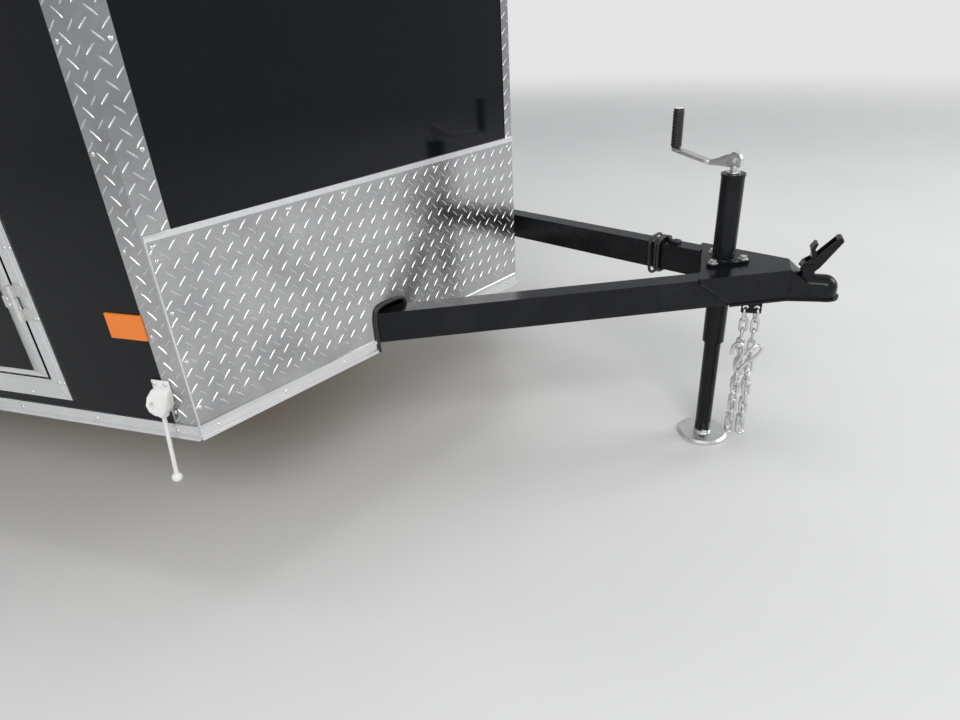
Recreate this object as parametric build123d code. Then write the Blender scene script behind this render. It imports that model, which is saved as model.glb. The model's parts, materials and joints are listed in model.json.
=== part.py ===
# Enclosed cargo trailer with a V-shaped nose, single axle, side door and double rear doors.
# Lengths are millimetres. Drawn with X forward from the front side corners, Y to the left,
# Z up from the ground; everything moves to the middle of the trailer when it is written.
import os
from math import atan2, copysign, cos, degrees, hypot, radians, sin, sqrt, tan

from build123d import *

# Body shell
BODY_WIDTH = 1829.0
SIDE_LENGTH = 3658.0
NOSE_DEPTH = 404.0
SKIN_BOTTOM = 444.0
SKIRT_DROP = 20.0
INSIDE_HEIGHT = 1829.0
WALL = 38.0
SKIN = 3.0
FLOOR_THICKNESS = 19.0
ROOF_EDGE = 30.0
ROOF_CROWN = 22.0
ROOF_CORNER_RADIUS = 26.0

# Frame
RAIL_HEIGHT = 76.2
RAIL_WIDTH = 50.8
WELD_GAP = 0.4
MEMBER_WIDTH = 38.0
MEMBER_HEIGHT = 50.0
MEMBER_PITCH = 406.4
TONGUE_ANGLE = 25.0
TONGUE_APEX = 1218.8

# Coupler and its socket for a 2 inch ball
BEND_BEFORE_APEX = 80.8
COUPLER_LENGTH = 218.0
BALL_BEYOND_BEND = 87.0
COUPLER_BEND = TONGUE_APEX - BEND_BEFORE_APEX
COUPLER_REAR = COUPLER_BEND - COUPLER_LENGTH
BALL_X = COUPLER_BEND + BALL_BEYOND_BEND
SOCKET_RADIUS = 25.8
SOCKET_DEPTH = 20.0
COUPLER_PLATE = 5.0
COUPLER_DIAGONAL = 78.0
COUPLER_REAR_LIP = 14.0
COUPLER_LIP = 4.0
NECK_START = 18.0
RIM_RADIUS = 39.0
RIM_THICKNESS = 6.0
NECK_HALF = 34.0
DOME_RADIUS = 33.0
SOCKET_CENTRE = 489.0
LATCH_TILT = 52.0
LATCH_LENGTH = 112.0
LATCH_FOOT = 37.0
LATCH_FOOT_DOWN = 14.0
LATCH_SHEET = 3.0
LATCH_EAR_HALF = 14.0
LATCH_WIDTH = 36.0
LATCH_PIN_RADIUS = 4.5
LATCH_EAR = 3.0

# Safety chains
CHAIN_WIRE = 6.4
LINK_END = 1.2
LINK_LENGTH = 45.0
LINK_WIDTH = 24.0
LOW_LINK_LENGTH = 60.0
LOW_LINK_WIDTH = 25.0
CHAIN_DOWN = 12
CHAIN_UP = 6
CHAIN_X = COUPLER_BEND - 82.0
CHAIN_Y = -58.0
CHAIN_SPREAD = 28.0
EYE_PLATE = 10.0
EYE_REACH = 11.0
EYE_BAR = 8.0
CHAIN_TOP = 444.0
HOOK_LENGTH = 104.0
HOOK_WIDTH = 27.0

# Jack
JACK_X = COUPLER_REAR + 54.0
JACK_TUBE_RADIUS = 28.6
JACK_TUBE_WALL = 3.0
FLANGE_BOLT_CIRCLE = 50.0
FLANGE_EDGE = 16.0
FLANGE_THICKNESS = 8.0
JACK_TOP = 775.0
JACK_CAP = 6.0
JACK_CAP_EDGE = 1.5
LEG_PLUG = 60.0
CRANK_NECK_HEIGHT = 16.0
CRANK_NECK_RADIUS = 10.0
CRANK_HEAD_RADIUS = 20.0
CRANK_ARM_HALF = 12.0
CRANK_DIP_SHARE = 0.42
JACK_TUBE_BOTTOM = 312.0
JACK_LEG_RADIUS = 22.0
JACK_LEG_TOP = 470.0
JACK_GUIDE_HEIGHT = 14.0
FOOT_RADIUS = 73.0
FOOT_HEIGHT = 19.0
FOOT_PLATE = 13.0
FOOT_SHEET = 4.0
CRANK_REACH = 182.0
CRANK_TURN = 143.7
GRIP_LENGTH = 98.0
GRIP_RADIUS = 14.5

# Running gear
AXLE_X = -2100.0
TYRE_RADIUS = 343.0
TYRE_WIDTH = 205.0
TYRE_WIDEST_RADIUS = 275.0
TREAD_HALF = 76.0
RIM_SEAT_RADIUS = 190.5
RIM_WIDTH = 140.0
BEAD_HALF = 61.5
DISC_DISH_RADIUS = 104.0
DISC_PLATE = 6.0
WINDOW_COUNT = 8
WINDOW_CIRCLE = 268.0
WINDOW_SIZE = (44.0, 58.0)
WINDOW_CORNER = 14.0
STUD_COUNT = 5
STUD_CIRCLE = 114.3
STUD_RADIUS = 6.0
STUD_LENGTH = 18.0
WHEEL_GAP = 30.0
AXLE_RADIUS = 30.0
SPINDLE_RADIUS = 19.0
SPINDLE_BEYOND = 34.0
PERCH_HALF = 34.0
HUB_RADIUS = 62.0
SPRING_SPAN = 660.0
SPRING_ARCH = 73.0
SPRING_WIDTH = 45.0
LEAF_THICKNESS = 7.0
LEAF_SHARES = (1.0, 0.74, 0.5, 0.28)
EYE_RADIUS = 15.0
BOLT_RADIUS = 7.0
HANGER_PLATE = 5.0
HANGER_TOP_HALF = 38.0
HANGER_TIP_HALF = 18.0
SHACKLE_LENGTH = 57.0
SHACKLE_LEAN = 36.0
CLAMP_PITCH = 74.0
CLAMP_BOLT = 12.0
CLAMP_PLATE = 10.0
CLAMP_PLATE_EDGE = 16.0
CLAMP_BOLT_BEYOND = 18.0
CLAMP_PLATE_HALF = 51.0
SHACKLE_WIDTH = 26.0
HUB_BARREL = 64.0
HUB_FLANGE = 9.0
HUB_CAP_RADIUS = 31.0
HUB_CAP_LENGTH = 44.0
HUB_CAP_WALL = 8.0
FENDER_WIDTH = 238.0
FENDER_RADIUS = 405.0
FENDER_THICKNESS = 3.0
FENDER_SKIRT = 30.0
FENDER_FOOT_HALF = 480.0
FENDER_TOP_HALF = 255.0
FENDER_BEND = 130.0
FENDER_FOOT_RISE = 50.0

# Doors
SIDE_DOOR_FRONT = 305.0
SIDE_DOOR_WIDTH = 813.0
SIDE_FRAME_BOTTOM = 53.0
SIDE_DOOR_HEIGHT = 1700.0
DOOR_FRAME_WIDTH = 36.0
DOOR_SILL_WIDTH = 46.0
DOOR_FRAME_PROUD = 4.0
DOOR_FRAME_LIP = 12.0
DOOR_GAP = 5.0
DOOR_THICKNESS = 34.0
HINGE_RADIUS = 7.0
HINGE_HEIGHT = 75.0
HINGE_LEAF = 34.0
HINGE_PLATE = 4.0
SIDE_LOCK_SHARE = 0.45
SIDE_LOCK_INSET = 20.0
SIDE_LOCK_SIZE = (130.0, 90.0)
SIDE_LOCK_HUB = 17.0
SIDE_HANDLE_OUT = 22.0
SIDE_HANDLE_THICKNESS = 12.0
SIDE_HANDLE_LENGTH = 135.0
HASP_ABOVE = 70.0
HASP_HEIGHT = 40.0
HASP_REACH = 60.0
REAR_POST_WIDTH = 60.0
REAR_HEADER_HEIGHT = 95.0
REAR_FRAME_DEPTH = 51.0
REAR_HINGE_OUT = 14.0
REAR_HINGE_INSET = 4.0
LOCK_BAR_RADIUS = 12.0
LOCK_BAR_PROUD = 34.0
LOCK_BAR_Y = 120.0
LOCK_HANDLE_LENGTH = 300.0
LOCK_HANDLE_SHARE = 0.42
LOCK_HANDLE_HALF = 14.0
LOCK_BAR_SHORT = 15.0
COLLAR_HALF = 17.0
CATCH_HALF = 30.0
STRAP_LENGTH = 130.0
STRAP_OFFSET = 4.6
STRAP_THICKNESS = 5.0
REAR_KNUCKLE_RADIUS = 9.0

# Stone guard, strips and trims
GUARD_HEIGHT = 406.4
PLATE = 2.0
CORNER_STRIP = 52.5
NOSE_STRIP = 26.0
BOTTOM_TRIM = 33.0
RAIL_PROUD = 7.0
RAIL_RIB = 8.0
TOP_TRIM = 12.0
ROOF_TRIM_LAP = 22.0
ROOF_TRIM_RISE = 14.0
ROOF_TRIM_PROUD = 3.0
CUTOUT_RISE = 22.0
CUTOUT_GAP = 9.0
CUTOUT_BEND = 30.0
CUTOUT_POCKET = 20.0
SEAL_WIDTH = 12.0

# Small fittings and the wiring cord
HOLDBACK_X = -62.0
HOLDBACK_Z = 540.0
HOLDBACK_ROD_LENGTH = 190.0
HOLDBACK_ROD_RADIUS = 5.5
HOLDBACK_DEPTH = 32.0
VENT_BEFORE_REAR = 508.0
VENT_Z = 2120.0
VENT_HALF_LENGTH = 95.0
VENT_HALF_HEIGHT = 60.0
VENT_PROUD = 26.0
VENT_WALL = 4.0
REFLECTOR_LOW = 660.0
REFLECTOR_HEIGHT = 51.0
REFLECTOR_LENGTH = 85.0
MARKER_SIZE = (64.0, 34.0)
MARKER_PROUD = 16.0
MARKER_X = -90.0
MARKER_DROP = 60.0
REAR_MARKER_IN = 110.0
REAR_MARKER_Z = 690.0
BAR_LAMP_PITCH = 150.0
BAR_LAMP_SIZE = (64.0, 28.0)
TAIL_LAMP_SIZE = (165.0, 57.0)
TAIL_LAMP_IN = 130.0
COIL_X = COUPLER_REAR - 108.0
COIL_TURNS = 3
COIL_BEND = 17.5
LOOSE_LEAN = -6.0
GLAND_BEHIND = 40.0
GLAND_LENGTH = 12.0
PLUG_SIZE = (38.0, 24.0, 9.0)
CORD = 8.5

# Clearance between pieces on different bodies, and of a round piece in its seat
RUNNING_GAP = 0.3

# Values worked out from the sizes above
HALF_WIDTH = BODY_WIDTH / 2
FRAME_BOTTOM = SKIN_BOTTOM + SKIRT_DROP
FRAME_TOP = FRAME_BOTTOM + RAIL_HEIGHT
FLOOR_TOP = FRAME_TOP + FLOOR_THICKNESS
WALL_TOP = FLOOR_TOP + INSIDE_HEIGHT
ROOF_TOP = WALL_TOP + ROOF_EDGE + ROOF_CROWN
NOSE_LENGTH = hypot(NOSE_DEPTH, HALF_WIDTH)
NOSE_TURN = degrees(atan2(HALF_WIDTH, NOSE_DEPTH))
SLOPE = tan(radians(TONGUE_ANGLE))
TUBE_ACROSS = RAIL_WIDTH / cos(radians(TONGUE_ANGLE))
INNER_APEX = TONGUE_APEX - TUBE_ACROSS / SLOPE
WHEEL_Y = HALF_WIDTH + WHEEL_GAP + TYRE_WIDTH / 2
HANGER_HALF = SPRING_WIDTH / 2 + 3 * HANGER_PLATE
SPRING_Y = HALF_WIDTH - SKIN - RUNNING_GAP - HANGER_HALF
REAR_X = -SIDE_LENGTH
VENT_X = REAR_X + VENT_BEFORE_REAR
RAIL_OUTER = SKIN
RAIL_INNER = SKIN + RAIL_WIDTH
AXLE_END = WHEEL_Y + SPINDLE_BEYOND
SPRING_SEAT_Z = TYRE_RADIUS - AXLE_RADIUS - 8.0
LEAF_RADIUS = (SPRING_SPAN**2 / 4 + SPRING_ARCH**2) / (2 * SPRING_ARCH)
EYE_Z = SPRING_SEAT_Z - LEAF_THICKNESS / 2 + SPRING_ARCH
CUTOUT_TOP = FRAME_TOP + CUTOUT_RISE
DOOR_OUTER_FRONT = -SIDE_DOOR_FRONT
DOOR_OUTER_REAR = DOOR_OUTER_FRONT - SIDE_DOOR_WIDTH - 2 * DOOR_FRAME_WIDTH
DOOR_OUTER_BOTTOM = SKIN_BOTTOM + SIDE_FRAME_BOTTOM
DOOR_OUTER_TOP = DOOR_OUTER_BOTTOM + SIDE_DOOR_HEIGHT + DOOR_SILL_WIDTH + DOOR_FRAME_WIDTH
STRIP_TOP = WALL_TOP - ROOF_TRIM_LAP
FRONT_END = BALL_X + RIM_RADIUS
REAR_END = REAR_X - LOCK_BAR_PROUD - LOCK_BAR_RADIUS
SHIFT = Pos(-(FRONT_END + REAR_END) / 2, 0, 0)


# Helpers
def block(x, y, z):
    """A box between two values on each axis."""
    size = (x[1] - x[0], y[1] - y[0], z[1] - z[0])
    return Pos((x[0] + x[1]) / 2, (y[0] + y[1]) / 2, (z[0] + z[1]) / 2) * Box(*size)


def upright(points, low, high):
    """A plan outline (x, y) raised from one height to another."""
    return extrude(Plane.XY.offset(low) * make_face(Polyline(*points, close=True)), high - low)


def along_y(outline, start, end):
    """A face drawn as (x, z) and pushed from one y to another."""
    plane = Plane((0, start, 0), x_dir=(1, 0, 0), z_dir=(0, -1, 0))
    return extrude(plane * outline, start - end)


def along_x(outline, start, end):
    """A face drawn as (y, z) and pushed from one x to another."""
    plane = Plane((start, 0, 0), x_dir=(0, 1, 0), z_dir=(1, 0, 0))
    return extrude(plane * outline, end - start)


def outline(points):
    return make_face(Polyline(*points, close=True))


def rod(start, end, radius):
    """A round bar from one point to another."""
    way = Vector(*end) - Vector(*start)
    return extrude(Plane(start, z_dir=way) * Circle(radius), way.length)


def other_side(shape):
    """The same piece on the other side of the trailer."""
    return mirror(shape, Plane.XZ)


def both(shape):
    return [shape, other_side(shape)]


def solids_of(*shapes):
    """All solids of the given shapes, kept apart."""
    found = []
    for shape in shapes:
        if isinstance(shape, (list, tuple)):
            found += solids_of(*shape)
        else:
            found += list(shape.solids())
    return found


def on_nose(shape, side):
    """Places a piece drawn flat on a nose wall: x runs from the side corner to the tip,
    y points into the body and z is up. Side -1 is the right, 1 the left."""
    place = Plane((0, -HALF_WIDTH, 0), x_dir=(NOSE_DEPTH, HALF_WIDTH, 0), z_dir=(0, 0, 1))
    placed = place.location * shape
    return other_side(placed) if side > 0 else placed


def tongue_y(x):
    """How far the outer face of a tongue tube is from the middle at x."""
    return (TONGUE_APEX - x) * SLOPE


def body_outline(inset, rear):
    """The shell's plan outline, moved inwards by the same amount all round."""
    half = HALF_WIDTH - inset
    corner = -inset * tan(radians(NOSE_TURN / 2))
    tip = NOSE_DEPTH - inset / sin(radians(NOSE_TURN))
    return [(rear, -half), (corner, -half), (tip, 0), (corner, half), (rear, half)]


parts = {}


# Frame: welded rectangular tubes under the floor and the two tongue tubes
def tongue_outline(grow):
    """Plan outline of the right tongue tube, from the side rail to inside the coupler."""
    tail_y = HALF_WIDTH - RAIL_INNER - WELD_GAP + grow
    outer = TONGUE_APEX + grow / sin(radians(TONGUE_ANGLE))
    inner = INNER_APEX - grow / sin(radians(TONGUE_ANGLE))
    front = COUPLER_BEND - COUPLER_PLATE * 2
    middle = WELD_GAP / 2
    return [
        (outer - tail_y / SLOPE, -tail_y),
        (front, -(outer - front) * SLOPE),
        (front, -middle),
        (inner - middle / SLOPE, -middle),
        (inner - tail_y / SLOPE, -tail_y),
    ]


def make_frame():
    outer = body_outline(RAIL_OUTER, REAR_X)
    inner = body_outline(RAIL_INNER, REAR_X)
    gap = WELD_GAP / 2
    # outline points: 0 rear right, 1 right corner, 2 tip
    side = [outer[0], (outer[1][0] - gap, outer[1][1]), (inner[1][0] - gap, inner[1][1]), inner[0]]
    back = gap * NOSE_DEPTH / HALF_WIDTH
    nose = [outer[1], (outer[2][0] - back, -gap), (inner[2][0] - back, -gap), inner[1]]
    tongue = upright(tongue_outline(0), FRAME_BOTTOM, FRAME_TOP)
    passage = upright(tongue_outline(WELD_GAP), FRAME_BOTTOM - 1, FRAME_TOP + 1)
    side_rail = upright(side, FRAME_BOTTOM, FRAME_TOP)
    nose_rail = upright(nose, FRAME_BOTTOM, FRAME_TOP) - passage
    rear_half = HALF_WIDTH - RAIL_INNER - WELD_GAP
    rear_rail = block((REAR_X, REAR_X + RAIL_WIDTH), (-rear_half, rear_half), (FRAME_BOTTOM, FRAME_TOP))
    parts["frame_rails"] = solids_of(both(side_rail), both(nose_rail), rear_rail)
    parts["tongue_tubes"] = solids_of(both(tongue))

    # cross members hang under the floor at an even pitch, trimmed by the rails and tongue tubes
    room = upright(body_outline(RAIL_INNER + WELD_GAP, REAR_X), FRAME_BOTTOM, FRAME_TOP)
    members = []
    first = NOSE_DEPTH - MEMBER_PITCH
    count = int((SIDE_LENGTH + first - RAIL_WIDTH) / MEMBER_PITCH) + 1
    for place in range(count):
        middle = first - place * MEMBER_PITCH
        x = (middle - MEMBER_WIDTH / 2, middle + MEMBER_WIDTH / 2)
        if x[0] > REAR_X + RAIL_WIDTH + MEMBER_WIDTH:
            member = block(x, (-HALF_WIDTH, HALF_WIDTH), (FRAME_TOP - MEMBER_HEIGHT, FRAME_TOP))
            members.append((member & room) - passage - other_side(passage))
    parts["cross_members"] = solids_of(members)


# Shell: floor, walls as thick as the studs with skin and liner, roof and the rear frame
def make_shell():
    inner = body_outline(WALL, REAR_X)
    outer = body_outline(0, REAR_X)
    skirt = body_outline(SKIN, REAR_X)
    rear = REAR_X + REAR_FRAME_DEPTH

    opening = HALF_WIDTH - REAR_POST_WIDTH
    floor_points = [
        (REAR_X, -opening),
        (rear, -opening),
        (rear, inner[1][1]),
        inner[1],
        inner[2],
        inner[3],
        (rear, inner[3][1]),
        (rear, opening),
        (REAR_X, opening),
    ]
    parts["floor"] = upright(floor_points, FRAME_TOP, FLOOR_TOP)

    wall = upright([(rear, outer[0][1]), outer[1], inner[1], (rear, inner[0][1])], FRAME_TOP, WALL_TOP)
    wall += upright([outer[0], outer[1], skirt[1], skirt[0]], SKIN_BOTTOM, FRAME_TOP)
    parts["wall_left"] = other_side(wall)
    jamb = DOOR_FRAME_LIP
    doorway = block(
        (DOOR_OUTER_REAR + jamb, DOOR_OUTER_FRONT - jamb),
        (-HALF_WIDTH - 1, -HALF_WIDTH + WALL + 1),
        (FRAME_TOP, DOOR_OUTER_TOP - jamb),
    )
    parts["wall_right"] = wall - doorway

    # the nose walls lean on each other at the tip; a notch at the foot lets each tongue tube through
    nose = upright([outer[1], outer[2], inner[2], inner[1]], FRAME_TOP, WALL_TOP)
    nose += upright([outer[1], outer[2], skirt[2], skirt[1]], SKIN_BOTTOM, FRAME_TOP)
    nose -= cutout_block(0)
    parts["nose_wall_right"] = nose
    parts["nose_wall_left"] = other_side(nose)

    # roof: the plan outline raised, then trimmed by a crowned profile with rounded sides
    half = HALF_WIDTH
    top = WALL_TOP + ROOF_EDGE
    bow = ROOF_CORNER_RADIUS
    profile = make_face(
        [
            Line((-half, WALL_TOP), (half, WALL_TOP)),
            Line((half, WALL_TOP), (half, top - bow)),
            ThreePointArc(
                (half, top - bow),
                (half - bow * (1 - cos(radians(45))), top - bow * (1 - sin(radians(45)))),
                (half - bow, top),
            ),
            ThreePointArc((half - bow, top), (0, ROOF_TOP), (-half + bow, top)),
            ThreePointArc(
                (-half + bow, top),
                (-half + bow * (1 - cos(radians(45))), top - bow * (1 - sin(radians(45)))),
                (-half, top - bow),
            ),
            Line((-half, top - bow), (-half, WALL_TOP)),
        ]
    )
    plan = upright(outer, WALL_TOP, ROOF_TOP + 1)
    parts["roof"] = plan & along_x(profile, REAR_X, NOSE_DEPTH)

    # rear frame: two posts and a header, with the doors between them
    post = block((REAR_X, rear), (opening, HALF_WIDTH), (FRAME_TOP, WALL_TOP))
    head_half = opening - WELD_GAP
    header = block((REAR_X, rear), (-head_half, head_half), (WALL_TOP - REAR_HEADER_HEIGHT, WALL_TOP))
    parts["rear_frame"] = solids_of(both(post), header)


# Places along the right nose wall where the tongue tube passes, measured from the side corner
def along_nose(outer_offset):
    """Distance from the side corner at which a line beside the tongue tube meets the nose wall."""
    apex = TONGUE_APEX + outer_offset / sin(radians(TONGUE_ANGLE))
    # the tube line is y = -(apex - x) * SLOPE and the wall is x = u cos, y = -half + u sin
    turn = radians(NOSE_TURN)
    return (HALF_WIDTH - apex * SLOPE) / (sin(turn) - cos(turn) * SLOPE)


def cutout_face(shrink):
    """The arched opening over the tongue tube, drawn as (distance along the wall, z)."""
    left = along_nose(CUTOUT_GAP) + shrink
    right = along_nose(-RAIL_WIDTH - CUTOUT_GAP) - shrink
    top = CUTOUT_TOP - shrink
    bend = CUTOUT_BEND - shrink
    low = SKIN_BOTTOM - 1
    turn = bend * (1 - cos(radians(45)))
    return make_face(
        [
            Line((right, low), (left, low)),
            Line((left, low), (left, top - bend)),
            ThreePointArc((left, top - bend), (left + turn, top - turn), (left + bend, top)),
            Line((left + bend, top), (right - bend, top)),
            ThreePointArc((right - bend, top), (right - turn, top - turn), (right, top - bend)),
            Line((right, top - bend), (right, low)),
        ]
    )


def cutout_block(shrink):
    """The opening in what lies on the nose wall and a pocket in the wall, on the right side."""
    return on_nose(along_y(cutout_face(shrink), -PLATE * 10, CUTOUT_POCKET), -1)


# Running gear: straight axle held over two leaf springs, wheels outside the body
def make_springs():
    centre_z = SPRING_SEAT_Z + LEAF_RADIUS - LEAF_THICKNESS / 2
    low = SPRING_Y - SPRING_WIDTH / 2
    high = SPRING_Y + SPRING_WIDTH / 2
    half_turn = degrees(atan2(SPRING_SPAN / 2, LEAF_RADIUS - SPRING_ARCH))
    pack = None
    for place, share in enumerate(LEAF_SHARES):
        inner = LEAF_RADIUS - LEAF_THICKNESS / 2 + place * LEAF_THICKNESS
        turn = radians(half_turn * share)
        arcs = []
        for radius in (inner, inner + LEAF_THICKNESS):
            ends = [(AXLE_X + side * radius * sin(turn), centre_z - radius * cos(turn)) for side in (-1, 1)]
            arcs.append((ends, ThreePointArc(ends[0], (AXLE_X, centre_z - radius), ends[1])))
        sides = [Line(arcs[0][0][end], arcs[1][0][end]) for end in (0, 1)]
        leaf = along_y(make_face([arcs[0][1], arcs[1][1], *sides]), high, low)
        pack = leaf if pack is None else pack + leaf
    for end in (-1, 1):
        x = AXLE_X + end * SPRING_SPAN / 2
        pack += rod((x, low, EYE_Z), (x, high, EYE_Z), EYE_RADIUS)
    for end in (-1, 1):
        x = AXLE_X + end * SPRING_SPAN / 2
        pack -= rod((x, low - 1, EYE_Z), (x, high + 1, EYE_Z), BOLT_RADIUS + RUNNING_GAP)
    parts["leaf_springs"] = solids_of(both(pack))

    # hangers under the rail: a front one that holds the eye, a rear one with a pair of shackles
    front_x = AXLE_X + SPRING_SPAN / 2
    eye_x = AXLE_X - SPRING_SPAN / 2
    rear_x = eye_x - SHACKLE_LEAN
    rear_z = EYE_Z + sqrt(SHACKLE_LENGTH**2 - SHACKLE_LEAN**2)
    mounts = []
    for x, z in ((front_x, EYE_Z), (rear_x, rear_z)):
        foot = z - HANGER_TIP_HALF
        top_points = [(x - HANGER_TOP_HALF, FRAME_BOTTOM), (x + HANGER_TOP_HALF, FRAME_BOTTOM)]
        shape = outline([*top_points, (x + HANGER_TIP_HALF, foot), (x - HANGER_TIP_HALF, foot)])
        inside = SPRING_WIDTH / 2 + 2 * HANGER_PLATE if z > EYE_Z else SPRING_WIDTH / 2 + RUNNING_GAP
        for side in (-1, 1):
            start = SPRING_Y + side * inside
            end = start + side * HANGER_PLATE
            mounts.append(along_y(shape, max(start, end), min(start, end)))
        reach = inside + HANGER_PLATE
        top_y = (SPRING_Y - reach, SPRING_Y + reach)
        top_x = (x - HANGER_TOP_HALF, x + HANGER_TOP_HALF)
        mounts.append(block(top_x, top_y, (FRAME_BOTTOM - HANGER_PLATE, FRAME_BOTTOM)))
    for x, z in ((front_x, EYE_Z), (rear_x, rear_z), (eye_x, EYE_Z)):
        reach = SPRING_WIDTH / 2 + 3 * HANGER_PLATE + 4
        mounts.append(rod((x, SPRING_Y - reach, z), (x, SPRING_Y + reach, z), BOLT_RADIUS))
    lean = degrees(atan2(rear_z - EYE_Z, rear_x - eye_x))
    middle = ((rear_x + eye_x) / 2, (rear_z + EYE_Z) / 2)
    for side in (-1, 1):
        link = Pos(*middle) * Rot(0, 0, lean) * SlotCenterToCenter(SHACKLE_LENGTH, SHACKLE_WIDTH)
        start = SPRING_Y + side * (SPRING_WIDTH / 2 + RUNNING_GAP)
        end = start + side * (HANGER_PLATE + 2)
        mounts.append(along_y(link, max(start, end), min(start, end)))
    hangers = mounts[0]
    for piece in mounts[1:]:
        hangers += piece

    # clamp: a plate under the leaves and two bent bolts over the axle on each side
    pack_low = SPRING_SEAT_Z - LEAF_THICKNESS * len(LEAF_SHARES)
    plate = block(
        (AXLE_X - CLAMP_PLATE_HALF, AXLE_X + CLAMP_PLATE_HALF),
        (low - CLAMP_PLATE_EDGE, high + CLAMP_PLATE_EDGE),
        (pack_low - CLAMP_PLATE, pack_low),
    )
    bend = AXLE_RADIUS + RUNNING_GAP
    wire = CLAMP_BOLT
    leg = TYRE_RADIUS - pack_low + CLAMP_PLATE + CLAMP_BOLT_BEYOND
    bolt = Circle(bend + wire) + Pos(0, -leg / 2) * Rectangle(2 * (bend + wire), leg)
    bolt -= Circle(bend) + Pos(0, -leg / 2 - 1) * Rectangle(2 * bend, leg + 2)
    for end in (low - wire, high + wire):
        plate += along_y(Pos(AXLE_X, TYRE_RADIUS) * bolt, end + wire / 2, end - wire / 2)
    parts["spring_mounts"] = solids_of(both(hangers), both(plate))


def make_axle():
    beam = rod((AXLE_X, -HALF_WIDTH - 4, TYRE_RADIUS), (AXLE_X, HALF_WIDTH + 4, TYRE_RADIUS), AXLE_RADIUS)
    for side in (-1, 1):
        root = (AXLE_X, side * (HALF_WIDTH + 4), TYRE_RADIUS)
        beam += rod(root, (AXLE_X, side * AXLE_END, TYRE_RADIUS), SPINDLE_RADIUS)
        seat_y = (side * SPRING_Y - SPRING_WIDTH / 2, side * SPRING_Y + SPRING_WIDTH / 2)
        perch_x = (AXLE_X - PERCH_HALF, AXLE_X + PERCH_HALF)
        perch = block(perch_x, seat_y, (SPRING_SEAT_Z - 1, TYRE_RADIUS - AXLE_RADIUS / 3))
        bed = LEAF_RADIUS - LEAF_THICKNESS / 2
        bed_z = SPRING_SEAT_Z + bed
        beam += perch & rod((AXLE_X, seat_y[0], bed_z), (AXLE_X, seat_y[1], bed_z), bed)
    parts["axle_beam"] = beam


def turned(profile):
    """A profile drawn as (radius, distance out from the wheel's middle), turned about the axle."""
    shape = revolve(Plane.XY * outline(profile), Axis.Y)
    return Pos(AXLE_X, WHEEL_Y, TYRE_RADIUS) * shape


def make_wheels():
    half = TYRE_WIDTH / 2
    tyre = turned(
        [
            (RIM_SEAT_RADIUS, -BEAD_HALF),
            (TYRE_WIDEST_RADIUS, -half),
            (TYRE_RADIUS, -TREAD_HALF),
            (TYRE_RADIUS, TREAD_HALF),
            (TYRE_WIDEST_RADIUS, half),
            (RIM_SEAT_RADIUS, BEAD_HALF),
        ]
    )
    seat = RIM_SEAT_RADIUS - RUNNING_GAP
    rim = turned(wheel_profile(seat))
    windows = []
    for place in range(WINDOW_COUNT):
        turn = 360 / WINDOW_COUNT * (place + 0.5)
        window = Rot(0, 0, turn) * Pos(WINDOW_CIRCLE / 2, 0) * RectangleRounded(*WINDOW_SIZE, WINDOW_CORNER)
        windows.append(Pos(AXLE_X, 0, TYRE_RADIUS) * along_y(window, WHEEL_Y + 60, WHEEL_Y - 60))
    rim -= windows
    hub = turned(
        [
            (SPINDLE_RADIUS + RUNNING_GAP, -HUB_BARREL),
            (HUB_RADIUS - 22, -HUB_BARREL),
            (HUB_RADIUS - 26, -HUB_FLANGE - 3),
            (HUB_RADIUS + 10, -HUB_FLANGE),
            (HUB_RADIUS + 10, 0),
            (HUB_CAP_RADIUS, 0),
            (HUB_CAP_RADIUS, HUB_CAP_LENGTH * 0.6),
            (HUB_CAP_RADIUS * 0.8, HUB_CAP_LENGTH),
            (0, HUB_CAP_LENGTH),
            (0, HUB_CAP_LENGTH - HUB_CAP_WALL),
            (SPINDLE_RADIUS + RUNNING_GAP, HUB_CAP_LENGTH - HUB_CAP_WALL),
        ]
    )
    for place in range(STUD_COUNT):
        angle = radians(360 / STUD_COUNT * (place + 0.25))
        x = AXLE_X + STUD_CIRCLE / 2 * cos(angle)
        z = TYRE_RADIUS + STUD_CIRCLE / 2 * sin(angle)
        hub += rod((x, WHEEL_Y - 1, z), (x, WHEEL_Y + STUD_LENGTH, z), STUD_RADIUS)
        rim -= rod((x, WHEEL_Y - 1, z), (x, WHEEL_Y + STUD_LENGTH, z), STUD_RADIUS + RUNNING_GAP)
    for name, shape in (("tyre", tyre), ("rim", rim), ("hub", hub)):
        parts[name + "_left"] = shape
        parts[name + "_right"] = other_side(shape)


def wheel_profile(seat):
    """Rim with a dropped centre and a dished disc, as one closed profile."""
    half = RIM_WIDTH / 2
    bore = HUB_CAP_RADIUS + 1 + RUNNING_GAP
    face = RUNNING_GAP
    return [
        (seat + 12, -half),
        (seat, -half + 8),
        (seat, -half + 22),
        (seat - 20, -half + 40),
        (seat - 20, half - 45),
        (seat, half - 25),
        (seat, half - 8),
        (seat + 12, half),
        (seat + 12, half + 3),
        (seat + 8, half + 3),
        (seat - 5, half - 6),
        (seat - 5, half - 27),
        (seat - 19, half - 40),
        (DISC_DISH_RADIUS, half - 40),
        (DISC_DISH_RADIUS - 26, face + DISC_PLATE),
        (bore, face + DISC_PLATE),
        (bore, face),
        (DISC_DISH_RADIUS - 23, face),
        (DISC_DISH_RADIUS + 3, half - 46),
        (seat - 25, half - 46),
        (seat - 25, -half + 39),
        (seat - 5, -half + 21),
        (seat - 5, -half + 6),
        (seat + 8, -half - 3),
        (seat + 12, -half - 3),
    ]


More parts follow.
